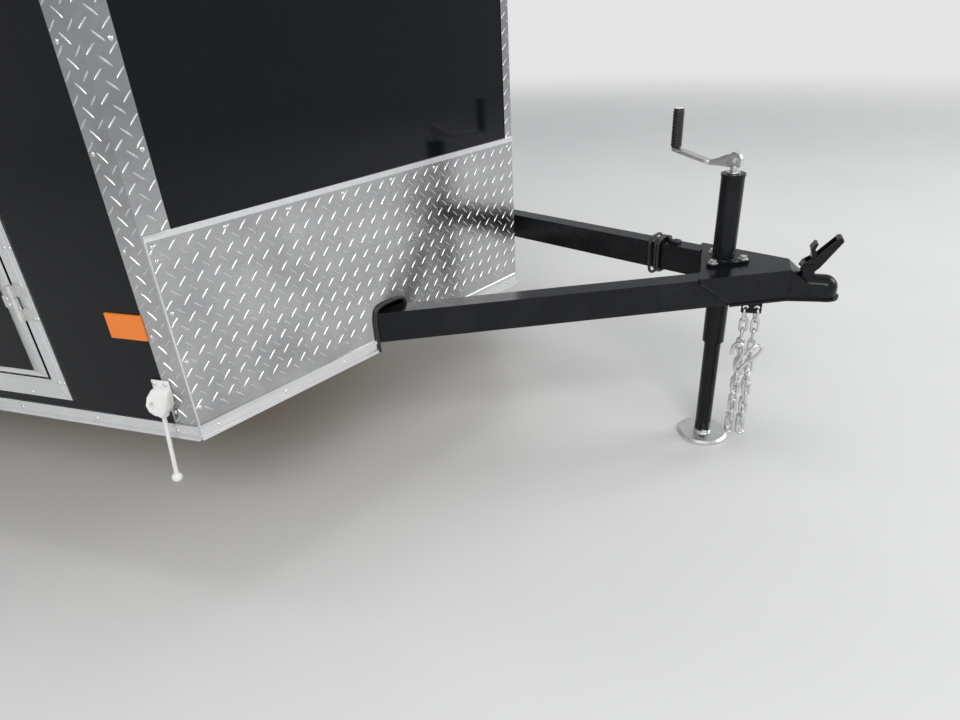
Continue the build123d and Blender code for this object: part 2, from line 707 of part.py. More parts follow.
def make_fenders():
    top = TYRE_RADIUS + FENDER_RADIUS
    foot = TYRE_RADIUS + FENDER_FOOT_RISE
    low_half = FENDER_FOOT_HALF
    high_half = FENDER_TOP_HALF
    shape = [(AXLE_X - low_half, foot), (AXLE_X - high_half, top)]
    shape += [(AXLE_X + high_half, top), (AXLE_X + low_half, foot)]
    # how far a line beside the sloping leg moves in at the foot and at the bend, per unit of depth
    slant = atan2(top - foot, low_half - high_half)
    foot_in = 1 / sin(slant)
    bend_in = tan(slant / 2)

    def band(depth):
        outer = FilletPolyline(*shape, radius=FENDER_BEND)
        inner_points = [(shape[0][0] + depth * foot_in, foot), (shape[1][0] + depth * bend_in, top - depth)]
        inner_points += [(shape[2][0] - depth * bend_in, top - depth)]
        inner_points += [(shape[3][0] - depth * foot_in, foot)]
        inner = FilletPolyline(*inner_points, radius=FENDER_BEND - depth)
        ends = [Line(shape[0], inner_points[0]), Line(shape[3], inner_points[3])]
        return make_face([*outer.edges(), *inner.edges(), *ends])

    outer_y = HALF_WIDTH + FENDER_WIDTH
    fender = along_y(band(FENDER_THICKNESS), outer_y, HALF_WIDTH)
    fender += along_y(band(FENDER_SKIRT), outer_y, outer_y - FENDER_THICKNESS)
    trim_y = (HALF_WIDTH - 1, HALF_WIDTH + RAIL_PROUD + RUNNING_GAP)
    trim_x = (AXLE_X - low_half - 1, AXLE_X + low_half + 1)
    fender -= block(trim_x, trim_y, (foot - 1, SKIN_BOTTOM + BOTTOM_TRIM + RUNNING_GAP))
    parts["fenders"] = solids_of(both(fender))


# Tread-plate strips, stone guards, bright trims and rubber seals on the outside of the shell
def make_trims():
    # the corner strip folds round the front side corner with an equal leg on each wall
    turn = radians(NOSE_TURN)
    out = PLATE * tan(turn / 2)
    fold = [
        (-CORNER_STRIP, -HALF_WIDTH),
        (-CORNER_STRIP, -HALF_WIDTH - PLATE),
        (out, -HALF_WIDTH - PLATE),
        (
            CORNER_STRIP * cos(turn) + PLATE * sin(turn),
            -HALF_WIDTH + CORNER_STRIP * sin(turn) - PLATE * cos(turn),
        ),
        (CORNER_STRIP * cos(turn), -HALF_WIDTH + CORNER_STRIP * sin(turn)),
        (0, -HALF_WIDTH),
    ]
    low = SKIN_BOTTOM + BOTTOM_TRIM
    corner = upright(fold, low, STRIP_TOP)
    tip_turn = radians(90 - NOSE_TURN)
    leg_x = NOSE_STRIP * sin(tip_turn)
    leg_y = NOSE_STRIP * cos(tip_turn)
    tip = NOSE_DEPTH + PLATE / cos(tip_turn)
    nose_fold = [
        (NOSE_DEPTH, 0),
        (NOSE_DEPTH - leg_x, -leg_y),
        (NOSE_DEPTH - leg_x + PLATE * cos(tip_turn), -leg_y - PLATE * sin(tip_turn)),
        (tip, 0),
        (NOSE_DEPTH - leg_x + PLATE * cos(tip_turn), leg_y + PLATE * sin(tip_turn)),
        (NOSE_DEPTH - leg_x, leg_y),
    ]
    nose_strip = upright(nose_fold, SKIN_BOTTOM + GUARD_HEIGHT + TOP_TRIM, STRIP_TOP)
    parts["corner_strips"] = solids_of(both(corner), nose_strip)

    # stone guard: tread plate on each nose wall, arched over the tongue tube
    start = CORNER_STRIP
    end = NOSE_LENGTH + PLATE * tan(tip_turn)
    plan = [(start, 0), (NOSE_LENGTH, 0), (end, -PLATE), (start, -PLATE)]
    guard = upright(plan, low, SKIN_BOTTOM + GUARD_HEIGHT)
    guard = on_nose(guard, -1) - cutout_block(0)
    parts["stone_guards"] = solids_of(both(guard))

    # bright trims: a cap over the guard's top edge and ribbed rails along the shell's foot
    cap_end = NOSE_LENGTH + 2 * PLATE * tan(tip_turn)
    cap_low = SKIN_BOTTOM + GUARD_HEIGHT
    cap_plan = [(start, 0), (NOSE_LENGTH, 0), (cap_end, -2 * PLATE), (start, -2 * PLATE)]
    cap = upright(cap_plan, cap_low, cap_low + TOP_TRIM)
    rail_face = [
        (0, 0),
        (-RAIL_PROUD, 0),
        (-RAIL_PROUD, RAIL_RIB),
        (-RAIL_PROUD + 3, RAIL_RIB + 2),
        (-RAIL_PROUD + 3, BOTTOM_TRIM - RAIL_RIB - 2),
        (-RAIL_PROUD, BOTTOM_TRIM - RAIL_RIB),
        (-RAIL_PROUD + 2, BOTTOM_TRIM),
        (0, BOTTOM_TRIM),
    ]
    face = outline([(y, SKIN_BOTTOM + z) for y, z in rail_face])
    side_rail = along_x(Pos(-HALF_WIDTH, 0) * face, REAR_X, 0)
    nose_rail = on_nose(along_x(face, 0, NOSE_LENGTH), -1)
    # the rail stops where it meets the side rail and the rail of the other nose wall
    keep_plan = [(0, -HALF_WIDTH - 20), (0, -HALF_WIDTH + 1), (NOSE_DEPTH - 1, 0)]
    keep_plan += [(NOSE_DEPTH + 20, 0), (40, -HALF_WIDTH - 20)]
    keep = upright(keep_plan, SKIN_BOTTOM - 1, SKIN_BOTTOM + BOTTOM_TRIM + 1)
    nose_rail = (nose_rail & keep) - cutout_block(0)
    brow_z = (STRIP_TOP, WALL_TOP + ROOF_TRIM_RISE)
    proud = ROOF_TRIM_PROUD
    brow_out = proud * tan(turn / 2)
    side_brow = block((REAR_X, 0), (-HALF_WIDTH - proud, -HALF_WIDTH), brow_z)
    brow_end = NOSE_LENGTH + proud * tan(tip_turn)
    brow_plan = [(0, 0), (NOSE_LENGTH, 0), (brow_end, -proud), (-brow_out, -proud)]
    nose_brow = on_nose(upright(brow_plan, *brow_z), -1)
    nose_brow -= block((-HALF_WIDTH, 0), (-HALF_WIDTH - 2 * proud, -HALF_WIDTH), brow_z)
    brows = solids_of(both(side_brow), both(nose_brow))
    parts["edge_trims"] = solids_of(both(on_nose(cap, -1)), both(side_rail), both(nose_rail), brows)

    # rubber edging round each cut-out, gripping the guard's edge
    ring = cutout_face(0) - cutout_face(SEAL_WIDTH / 2)
    seal = on_nose(along_y(ring, -RAIL_PROUD - 2, SKIN), -1)
    seal -= upright(tongue_outline(RUNNING_GAP), SKIN_BOTTOM - 10, FRAME_TOP + RUNNING_GAP)
    seal -= block((-100, NOSE_DEPTH + 100), (-HALF_WIDTH, 0), (SKIN_BOTTOM - 20, SKIN_BOTTOM))
    parts["tube_seals"] = solids_of(both(seal))


# Side door in its frame, on the right wall
def make_side_door():
    face = -HALF_WIDTH
    front = DOOR_OUTER_FRONT
    rear = DOOR_OUTER_REAR
    wide = DOOR_FRAME_WIDTH
    clear_x = (rear + wide, front - wide)
    clear_z = (DOOR_OUTER_BOTTOM + DOOR_SILL_WIDTH, DOOR_OUTER_TOP - wide)
    flange = block((rear, front), (face - DOOR_FRAME_PROUD, face), (DOOR_OUTER_BOTTOM, DOOR_OUTER_TOP))
    lip = DOOR_FRAME_LIP
    flange += block((rear + lip, front - lip), (face, face + WALL), (FRAME_TOP, DOOR_OUTER_TOP - lip))
    flange -= block(clear_x, (face - DOOR_FRAME_PROUD - 1, face + WALL + 1), clear_z)
    parts["side_door_frame"] = flange

    outer = face - DOOR_FRAME_PROUD
    leaf_x = (clear_x[0] + DOOR_GAP, clear_x[1] - DOOR_GAP)
    leaf_z = (clear_z[0] + DOOR_GAP, clear_z[1] - DOOR_GAP)
    parts["side_door"] = block(leaf_x, (outer, outer + DOOR_THICKNESS), leaf_z)

    pin_x = clear_x[1] - DOOR_GAP / 2
    pin_y = outer - HINGE_RADIUS - RUNNING_GAP
    fixed = []
    moving = []
    span = leaf_z[1] - leaf_z[0]
    for share in (0.1, 0.5, 0.9):
        middle = leaf_z[0] + span * share
        for place in range(3):
            low = middle - HINGE_HEIGHT / 2 + place * HINGE_HEIGHT / 3 + 0.25
            high = low + HINGE_HEIGHT / 3 - 0.5
            knuckle = rod((pin_x, pin_y, low), (pin_x, pin_y, high), HINGE_RADIUS)
            if place == 1:
                plate = block((pin_x - HINGE_LEAF, pin_x), (outer - HINGE_PLATE, outer), (low, high))
                plate += block((pin_x - 6, pin_x), (pin_y, outer), (low, high))
                plate -= block((pin_x - DOOR_GAP / 2, pin_x + 20), (outer - 0.6, outer + 1), (low, high))
                moving.append(knuckle + plate)
            else:
                plate = block((pin_x, pin_x + HINGE_LEAF - 4), (outer - HINGE_PLATE, outer), (low, high))
                plate += block((pin_x, pin_x + 6), (pin_y, outer), (low, high))
                plate -= block((pin_x - 20, pin_x + DOOR_GAP / 2), (outer - 0.6, outer + 1), (low, high))
                fixed.append(knuckle + plate)
    lock_z = leaf_z[0] + span * SIDE_LOCK_SHARE
    edge = leaf_x[0]
    lock_x = (edge + SIDE_LOCK_INSET, edge + SIDE_LOCK_INSET + SIDE_LOCK_SIZE[0])
    lock_half = SIDE_LOCK_SIZE[1] / 2
    lock = block(lock_x, (outer - 5, outer), (lock_z - lock_half, lock_z + lock_half))
    hub_x = lock_x[0] + SIDE_LOCK_HUB * 2
    lock += rod((hub_x, outer - 5, lock_z), (hub_x, outer - SIDE_HANDLE_OUT - 2, lock_z), SIDE_LOCK_HUB)
    handle_x = (hub_x - SIDE_LOCK_HUB, hub_x - SIDE_LOCK_HUB + SIDE_HANDLE_LENGTH)
    handle_y = (outer - SIDE_HANDLE_OUT - SIDE_HANDLE_THICKNESS, outer - SIDE_HANDLE_OUT)
    lock += block(handle_x, handle_y, (lock_z - 13, lock_z + 13))
    hasp_z = (lock_z + HASP_ABOVE, lock_z + HASP_ABOVE + HASP_HEIGHT)
    hasp = block((edge + 4, edge + HASP_REACH), (outer - 6, outer), hasp_z)
    parts["side_door_fittings"] = solids_of(moving, lock, hasp)
    return fixed


# Rear doors: two leaves between the posts, strap hinges outside, a bar lock on each leaf
def make_rear_doors():
    opening = HALF_WIDTH - REAR_POST_WIDTH
    leaf_y = (DOOR_GAP / 2, opening - DOOR_GAP)
    leaf_z = (FLOOR_TOP + DOOR_GAP, WALL_TOP - REAR_HEADER_HEIGHT - DOOR_GAP)
    leaf = block((REAR_X, REAR_X + DOOR_THICKNESS), leaf_y, leaf_z)
    parts["rear_door_left"] = leaf
    parts["rear_door_right"] = other_side(leaf)

    pin_x = REAR_X - REAR_HINGE_OUT
    pin_y = HALF_WIDTH - REAR_HINGE_INSET
    strap_x = (pin_x + STRAP_OFFSET, pin_x + STRAP_OFFSET + STRAP_THICKNESS)
    knuckle_radius = REAR_KNUCKLE_RADIUS
    fixed = []
    moving = []
    span = leaf_z[1] - leaf_z[0]
    for share in (0.08, 0.5, 0.92):
        middle = leaf_z[0] + span * share
        for place in range(3):
            low = middle - HINGE_HEIGHT / 2 + place * HINGE_HEIGHT / 3 + 0.25
            high = low + HINGE_HEIGHT / 3 - 0.5
            knuckle = rod((pin_x, pin_y, low), (pin_x, pin_y, high), knuckle_radius)
            if place == 1:
                strap = block(strap_x, (leaf_y[1] - STRAP_LENGTH, pin_y), (low, high))
                strap += block((strap_x[0], REAR_X), (leaf_y[1] - STRAP_LENGTH, leaf_y[1] - 8), (low, high))
                moving.append(knuckle + strap)
            else:
                seat = block((pin_x, REAR_X), (pin_y - knuckle_radius, pin_y + knuckle_radius), (low, high))
                seat &= block((pin_x, REAR_X), (pin_y - knuckle_radius, HALF_WIDTH), (low, high))
                fixed.append(knuckle + seat)

    bar_x = REAR_X - LOCK_BAR_PROUD
    bar_y = LOCK_BAR_Y
    bar_ends = (leaf_z[0] + LOCK_BAR_SHORT, leaf_z[1] - LOCK_BAR_SHORT)
    bar = rod((bar_x, bar_y, bar_ends[0]), (bar_x, bar_y, bar_ends[1]), LOCK_BAR_RADIUS)
    for share in (0.06, 0.3, 0.7, 0.94):
        z = leaf_z[0] + span * share
        collar_y = (bar_y - COLLAR_HALF, bar_y + COLLAR_HALF)
        collar = block((bar_x - 6, REAR_X), collar_y, (z - COLLAR_HALF, z + COLLAR_HALF))
        bar += collar & block((REAR_X - LOCK_BAR_PROUD - LOCK_BAR_RADIUS, REAR_X), leaf_y, leaf_z)
    grip_z = leaf_z[0] + span * LOCK_HANDLE_SHARE
    handle_end = bar_y + LOCK_HANDLE_LENGTH
    handle_z = (grip_z - LOCK_HANDLE_HALF, grip_z + LOCK_HANDLE_HALF)
    bar += block((bar_x - 5, bar_x + 5), (bar_y, handle_end), handle_z)
    catch_y = (handle_end - 2 * CATCH_HALF, handle_end - CATCH_HALF)
    catch = block((bar_x - 9, REAR_X), catch_y, (grip_z - CATCH_HALF, grip_z + CATCH_HALF))
    bar += catch
    parts["rear_fittings_left"] = solids_of(moving, bar)
    parts["rear_fittings_right"] = [other_side(shape) for shape in parts["rear_fittings_left"]]
    return fixed


# Coupler: a pressed channel over the tongue tubes, its nose rounded over the ball socket
def coupler_plan(grow):
    """Plan outline of the channel's outside, grown or shrunk all round, as points on the left side."""
    outer = TONGUE_APEX + (COUPLER_PLATE + RUNNING_GAP + grow) / sin(radians(TONGUE_ANGLE))
    neck = (outer - COUPLER_BEND) * SLOPE
    rear = COUPLER_REAR - 1
    return [(rear, (outer - rear) * SLOPE), (COUPLER_BEND, neck), (BALL_X, NECK_HALF + grow)]


def coupler_block(grow, low, high):
    side = coupler_plan(grow)
    return upright([*side, *[(x, -y) for x, y in reversed(side)]], low, high)


def nose_bullet(radius, end):
    """A round bar along the coupler's nose with a ball end over the socket, above its middle."""
    start = COUPLER_BEND + NECK_START
    halfway = (end + radius * cos(radians(45)), radius * sin(radians(45)))
    profile = make_face(
        [
            Line((start, 0), (start, radius)),
            Line((start, radius), (end, radius)),
            ThreePointArc((end, radius), halfway, (end + radius, 0)),
            Line((end + radius, 0), (start, 0)),
        ]
    )
    bullet = Pos(0, 0, SOCKET_CENTRE) * revolve(Plane.XZ * profile, Axis.X)
    reach = radius + 1
    return bullet & block((start - 1, end + reach), (-reach, reach), (SOCKET_CENTRE, SOCKET_CENTRE + reach))


def make_coupler():
    top = FRAME_TOP + COUPLER_PLATE + RUNNING_GAP
    foot = SOCKET_CENTRE - SOCKET_DEPTH
    half = tongue_y(COUPLER_REAR) + 30
    low_rear = COUPLER_REAR + COUPLER_DIAGONAL
    shoulder = SOCKET_CENTRE + DOME_RADIUS * 0.5
    neck_x = COUPLER_BEND + NECK_START + 30

    # seen from the side: flat top, slope down to the neck, and the slanted rear end of each cheek
    face = [
        (COUPLER_REAR, top),
        (COUPLER_BEND, top),
        (neck_x, shoulder),
        (BALL_X, shoulder),
        (BALL_X, foot),
        (low_rear, foot),
        (COUPLER_REAR, top - COUPLER_REAR_LIP),
    ]
    inner_face = [
        (COUPLER_REAR - 2, top - COUPLER_PLATE),
        (COUPLER_BEND, top - COUPLER_PLATE),
        (neck_x - 4, shoulder - COUPLER_PLATE),
        (BALL_X, shoulder - COUPLER_PLATE),
        (BALL_X, foot - 20),
        (COUPLER_REAR - 2, foot - 20),
    ]
    body = coupler_block(0, foot - 1, top) & along_y(outline(face), half, -half)
    body += nose_bullet(DOME_RADIUS, BALL_X)
    hollow = coupler_block(-COUPLER_PLATE, foot - 21, top) & along_y(outline(inner_face), half, -half)
    body -= hollow
    body -= nose_bullet(DOME_RADIUS - COUPLER_PLATE, BALL_X - DOME_RADIUS)

    # rolled lip along the foot of the cheeks and round the socket
    lip = coupler_block(COUPLER_LIP, foot - RIM_THICKNESS, foot)
    lip -= coupler_block(-COUPLER_PLATE, foot - RIM_THICKNESS - 1, foot + 1)
    lip &= block((low_rear, BALL_X), (-half, half), (foot - RIM_THICKNESS, foot))
    body += lip
    body += rod((BALL_X, 0, foot), (BALL_X, 0, SOCKET_CENTRE + 1), DOME_RADIUS)
    body += rod((BALL_X, 0, foot - RIM_THICKNESS), (BALL_X, 0, foot), RIM_RADIUS)
    body -= Pos(BALL_X, 0, SOCKET_CENTRE) * Sphere(SOCKET_RADIUS)
    body -= rod((BALL_X, 0, foot - 20), (BALL_X, 0, SOCKET_CENTRE), SOCKET_RADIUS)
    body -= rod((JACK_X, 0, top - 20), (JACK_X, 0, top + 5), JACK_TUBE_RADIUS + 1)

    # raised latch lever: a folded channel pinned between two ears behind the dome
    foot = (COUPLER_BEND + LATCH_FOOT, top - LATCH_FOOT_DOWN)
    tilt = radians(LATCH_TILT)
    way = (cos(tilt), sin(tilt))
    side_way = (-sin(tilt), cos(tilt))

    def at(along, across):
        x = foot[0] + way[0] * along + side_way[0] * across
        return (x, foot[1] + way[1] * along + side_way[1] * across)

    tip = LATCH_LENGTH
    back_edge = [at(-2, -12), at(30, -15), at(tip, -6), at(tip + 4, 2)]
    lever = outline([*back_edge, at(tip, 8), at(44, 12), at(12, 22), at(-2, 18)])
    half = LATCH_WIDTH / 2
    latch = along_y(lever, half, -half)
    hollow = outline([at(-30, -10), at(tip - 8, -4), at(tip - 8, 20), at(-30, 20)])
    latch -= along_y(hollow, half - LATCH_SHEET, -half + LATCH_SHEET)
    trigger = outline([at(22, 8), at(40, 22), at(50, 36), at(68, 38), at(70, 32), at(56, 27), at(46, 8)])
    latch += along_y(trigger, half - LATCH_SHEET + 1, -half + LATCH_SHEET - 1)
    pin = at(14, 3)
    latch -= rod((pin[0], -half - 1, pin[1]), (pin[0], half + 1, pin[1]), LATCH_PIN_RADIUS + RUNNING_GAP)
    parts["coupler_latch"] = latch
    ear_start = half + RUNNING_GAP
    for side in (-1, 1):
        ear_y = sorted((side * ear_start, side * (ear_start + LATCH_EAR)))
        ear_x = (pin[0] - LATCH_EAR_HALF, pin[0] + LATCH_EAR_HALF)
        body += block(ear_x, ear_y, (shoulder, pin[1] + 2 * LATCH_PIN_RADIUS))
    body += rod((pin[0], -ear_start - 6, pin[1]), (pin[0], ear_start + 6, pin[1]), LATCH_PIN_RADIUS)
    body -= Pos(BALL_X, 0, SOCKET_CENTRE) * Sphere(SOCKET_RADIUS)
    parts["coupler"] = body


# Safety chains: two, hung from one eye under the tube, each doubled back up to an open hook
def make_chain_link(centre, turned_link, length, wide, lying=False):
    """A six-sided link in the XZ plane, or the YZ plane when turned; a lying one is square and level."""
    half = length / 2
    reach = wide / 2
    hole = (reach - CHAIN_WIRE, half - CHAIN_WIRE * LINK_END)
    if lying:
        half, reach = reach, half
        hole = (reach - CHAIN_WIRE, half - CHAIN_WIRE)
        outer = Rectangle(2 * reach, 2 * half)
    else:
        flat = half - reach * 0.7
        low_half = [(-reach, -flat), (0, -half), (reach, -flat)]
        outer = outline([*low_half, *[(-x, -z) for x, z in low_half]])
    link = along_y(outer - Rectangle(2 * hole[0], 2 * hole[1]), CHAIN_WIRE / 2, -CHAIN_WIRE / 2)
    return Pos(*centre) * Rot(0, 0, 90 if turned_link else 0) * link


def make_chains():
    links = []
    end = CHAIN_WIRE * LINK_END
    pitch = LINK_LENGTH - 2 * end - RUNNING_GAP
    last_z = CHAIN_TOP - LINK_LENGTH / 2 - (CHAIN_DOWN - 1) * pitch
    up_y = CHAIN_Y - CHAIN_SPREAD
    for x in (CHAIN_X - CHAIN_SPREAD / 2, CHAIN_X + CHAIN_SPREAD / 2):
        for place in range(CHAIN_DOWN):
            z = last_z + (CHAIN_DOWN - 1 - place) * pitch
            links.append(make_chain_link((x, CHAIN_Y, z), place % 2 == 0, LINK_LENGTH, LINK_WIDTH))
        for place in range(CHAIN_UP):
            z = last_z + place * pitch
            links.append(make_chain_link((x, up_y, z), place % 2 == 1, LINK_LENGTH, LINK_WIDTH))
        low_z = last_z - LINK_LENGTH / 2 + end + RUNNING_GAP + CHAIN_WIRE - LOW_LINK_WIDTH / 2
        low_y = (CHAIN_Y + up_y) / 2
        links.append(make_chain_link((x, low_y, low_z), True, LOW_LINK_LENGTH, LOW_LINK_WIDTH, True))
        top_z = last_z + (CHAIN_UP - 1) * pitch + LINK_LENGTH / 2
        hook_z = top_z - 2 * end - RUNNING_GAP + HOOK_LENGTH / 2
        hook = make_chain_link((x, up_y, hook_z), False, HOOK_LENGTH, HOOK_WIDTH)
        gate = block((x - HOOK_WIDTH, x), (up_y - 5, up_y + 5), (hook_z - 4, hook_z + HOOK_LENGTH / 4))
        links.append(hook - gate)
    # the eye plate that both chains hang in
    hole_low = CHAIN_TOP - end - RUNNING_GAP
    eye_half = CHAIN_SPREAD / 2 + EYE_REACH
    eye_y = (CHAIN_Y - EYE_PLATE / 2, CHAIN_Y + EYE_PLATE / 2)
    plate = block((CHAIN_X - eye_half, CHAIN_X + eye_half), eye_y, (hole_low - EYE_BAR, FRAME_BOTTOM))
    for x in (CHAIN_X - CHAIN_SPREAD / 2, CHAIN_X + CHAIN_SPREAD / 2):
        plate -= block((x - 7, x + 7), (eye_y[0] - 1, eye_y[1] + 1), (hole_low, CHAIN_TOP + 6))
    parts["safety_chains"] = solids_of(links, plate)


# Jack: outer tube with a triangular flange on the coupler, crank on top, leg and foot below
def make_jack():
    seat = FRAME_TOP + COUPLER_PLATE + RUNNING_GAP
    tube = rod((JACK_X, 0, JACK_TUBE_BOTTOM), (JACK_X, 0, JACK_TOP), JACK_TUBE_RADIUS)
    corners = []
    for turn in (0, 120, 240):
        way = radians(turn)
        corners.append((JACK_X + FLANGE_BOLT_CIRCLE * cos(way), FLANGE_BOLT_CIRCLE * sin(way)))
    flange = offset(outline(corners), FLANGE_EDGE, kind=Kind.ARC)
    flange = extrude(Plane.XY.offset(seat) * flange, FLANGE_THICKNESS)
    tube += flange
    tube += rod((JACK_X, 0, JACK_TOP - JACK_CAP), (JACK_X, 0, JACK_TOP), JACK_TUBE_RADIUS + JACK_CAP_EDGE)
    guide_top = JACK_TUBE_BOTTOM + JACK_GUIDE_HEIGHT
    tube -= rod((JACK_X, 0, guide_top), (JACK_X, 0, JACK_TOP - JACK_CAP), JACK_TUBE_RADIUS - JACK_TUBE_WALL)
    tube -= rod((JACK_X, 0, JACK_TUBE_BOTTOM - 1), (JACK_X, 0, guide_top + 1), JACK_LEG_RADIUS + RUNNING_GAP)
    parts["jack_tube"] = tube

    # zinc crank: a round head on edge over its neck, tapering to a flat arm
    neck_top = JACK_TOP + CRANK_NECK_HEIGHT
    cap = rod((JACK_X, 0, JACK_TOP), (JACK_X, 0, JACK_TOP + 3), CRANK_NECK_RADIUS + 7)
    cap += rod((JACK_X, 0, JACK_TOP + 3), (JACK_X, 0, neck_top), CRANK_NECK_RADIUS)
    head_z = neck_top + CRANK_HEAD_RADIUS - 5
    head = along_y(Pos(0, head_z) * Circle(CRANK_HEAD_RADIUS), 5, -5)
    dip_x = CRANK_REACH * CRANK_DIP_SHARE
    plate = outline(
        [
            (0, head_z - CRANK_HEAD_RADIUS + 2),
            (dip_x, head_z - 21),
            (CRANK_REACH, head_z + 3),
            (CRANK_REACH, head_z + 9),
            (dip_x, head_z - 9),
            (0, head_z + CRANK_HEAD_RADIUS - 2),
        ]
    )
    arm = along_y(plate, 3, -3)
    flat = outline(
        [
            (dip_x, head_z - 15),
            (CRANK_REACH + CRANK_ARM_HALF, head_z + 4.5),
            (CRANK_REACH + CRANK_ARM_HALF, head_z + 9.5),
            (dip_x, head_z - 9),
        ]
    )
    arm += along_y(flat, CRANK_ARM_HALF, -CRANK_ARM_HALF)
    crank = Rot(0, 0, CRANK_TURN) * (head + arm)
    parts["jack_crank"] = cap + Pos(JACK_X, 0, 0) * crank
    turn = radians(CRANK_TURN)
    grip_x = JACK_X + CRANK_REACH * cos(turn)
    grip_y = CRANK_REACH * sin(turn)
    grip_z = head_z + 10
    grip = rod((grip_x, grip_y, grip_z), (grip_x, grip_y, grip_z + GRIP_LENGTH), GRIP_RADIUS)
    parts["jack_grip"] = grip

    leg_low = FOOT_PLATE
    leg = rod((JACK_X, 0, leg_low), (JACK_X, 0, JACK_LEG_TOP), JACK_LEG_RADIUS)
    leg_inner = JACK_LEG_RADIUS - JACK_TUBE_WALL
    leg -= rod((JACK_X, 0, leg_low + LEG_PLUG), (JACK_X, 0, JACK_LEG_TOP + 1), leg_inner)
    parts["jack_leg"] = leg
    profile = [
        (JACK_LEG_RADIUS + RUNNING_GAP, FOOT_HEIGHT),
        (JACK_LEG_RADIUS + 3, FOOT_HEIGHT),
        (JACK_LEG_RADIUS + 3, FOOT_PLATE),
        (FOOT_RADIUS - 8, FOOT_PLATE - 1),
        (FOOT_RADIUS - 1, FOOT_PLATE - 6),
        (FOOT_RADIUS, 0),
        (FOOT_RADIUS - FOOT_SHEET, 0),
        (FOOT_RADIUS - FOOT_SHEET - 2, FOOT_PLATE - FOOT_SHEET - 4),
        (FOOT_RADIUS - FOOT_SHEET - 8, FOOT_PLATE - FOOT_SHEET),
        (0, FOOT_PLATE - FOOT_SHEET),
        (0, FOOT_PLATE - RUNNING_GAP),
        (JACK_LEG_RADIUS + RUNNING_GAP, FOOT_PLATE - RUNNING_GAP),
    ]
    foot = revolve(Plane.XZ * outline(profile), Axis.Z)
    parts["jack_foot"] = Pos(JACK_X, 0, 0) * foot


# Small fittings: door holdback, reflectors, lamps, vents and the wiring
def make_fittings():
    face = -HALF_WIDTH - PLATE
    house_x = HOLDBACK_X
    body = outline(
        [
            (house_x - 26, HOLDBACK_Z + 36),
            (house_x + 26, HOLDBACK_Z + 36),
            (house_x + 28, HOLDBACK_Z + 10),
            (house_x + 18, HOLDBACK_Z - 30),
            (house_x - 18, HOLDBACK_Z - 30),
            (house_x - 28, HOLDBACK_Z + 10),
        ]
    )
    house = along_y(body, face, face - HOLDBACK_DEPTH)
    slope_top = HOLDBACK_Z + 40
    slope = outline([(face - 40, HOLDBACK_Z + 10), (face - 6, slope_top), (face - 40, slope_top)])
    house -= along_x(slope, house_x - 40, house_x + 40)
    stem_top = HOLDBACK_Z - 4
    ball_z = HOLDBACK_Z - HOLDBACK_ROD_LENGTH
    stem_y = face - HOLDBACK_DEPTH + 14
    stem = rod((house_x, stem_y, ball_z), (house_x, stem_y, stem_top), HOLDBACK_ROD_RADIUS)
    stem += Pos(house_x, stem_y, ball_z) * Sphere(2 * HOLDBACK_ROD_RADIUS)
    parts["door_holdback"] = house + stem

    reflector_x = (-CORNER_STRIP - REFLECTOR_LENGTH, -CORNER_STRIP)
    reflector_z = (REFLECTOR_LOW, REFLECTOR_LOW + REFLECTOR_HEIGHT)
    reflector = block(reflector_x, (-HALF_WIDTH - DOOR_FRAME_PROUD, -HALF_WIDTH), reflector_z)
    lamp = []
    for x, z in ((MARKER_X, WALL_TOP - MARKER_DROP), (REAR_X + REAR_MARKER_IN, REAR_MARKER_Z)):
        face = Pos(x, z) * RectangleRounded(*MARKER_SIZE, MARKER_SIZE[1] * 0.4)
        lamp.append(along_y(face, -HALF_WIDTH, -HALF_WIDTH - MARKER_PROUD))
    parts["amber_lenses"] = solids_of(both(reflector), both(lamp[0]))
    rear = []
    bar_z = WALL_TOP - REAR_HEADER_HEIGHT * 0.42
    for place in (-1, 0, 1):
        face = Pos(place * BAR_LAMP_PITCH, bar_z) * RectangleRounded(*BAR_LAMP_SIZE, BAR_LAMP_SIZE[1] * 0.4)
        rear.append(along_x(face, REAR_X - MARKER_PROUD, REAR_X))
    tail_face = RectangleRounded(*TAIL_LAMP_SIZE, TAIL_LAMP_SIZE[1] * 0.47)
    tail_z = FRAME_BOTTOM + RAIL_HEIGHT / 2
    tail = along_x(Pos(HALF_WIDTH - TAIL_LAMP_IN, tail_z) * tail_face, REAR_X - MARKER_PROUD, REAR_X)
    parts["red_lenses"] = solids_of(rear, both(tail), both(lamp[1]))

    half = VENT_HALF_LENGTH
    low = VENT_Z - VENT_HALF_HEIGHT
    high = VENT_Z + VENT_HALF_HEIGHT
    front = -HALF_WIDTH - VENT_PROUD
    hood = block((VENT_X - half, VENT_X + half), (front, -HALF_WIDTH), (low, high))
    hood = chamfer(hood.edges().filter_by(Axis.X).group_by(Axis.Z)[-1].sort_by(Axis.Y)[0], VENT_PROUD * 0.7)
    inner_x = (VENT_X - half + VENT_WALL, VENT_X + half - VENT_WALL)
    mouth = block(inner_x, (front + VENT_WALL, -HALF_WIDTH), (low - 1, high - VENT_PROUD))
    parts["side_vents"] = solids_of(both(hood - mouth))


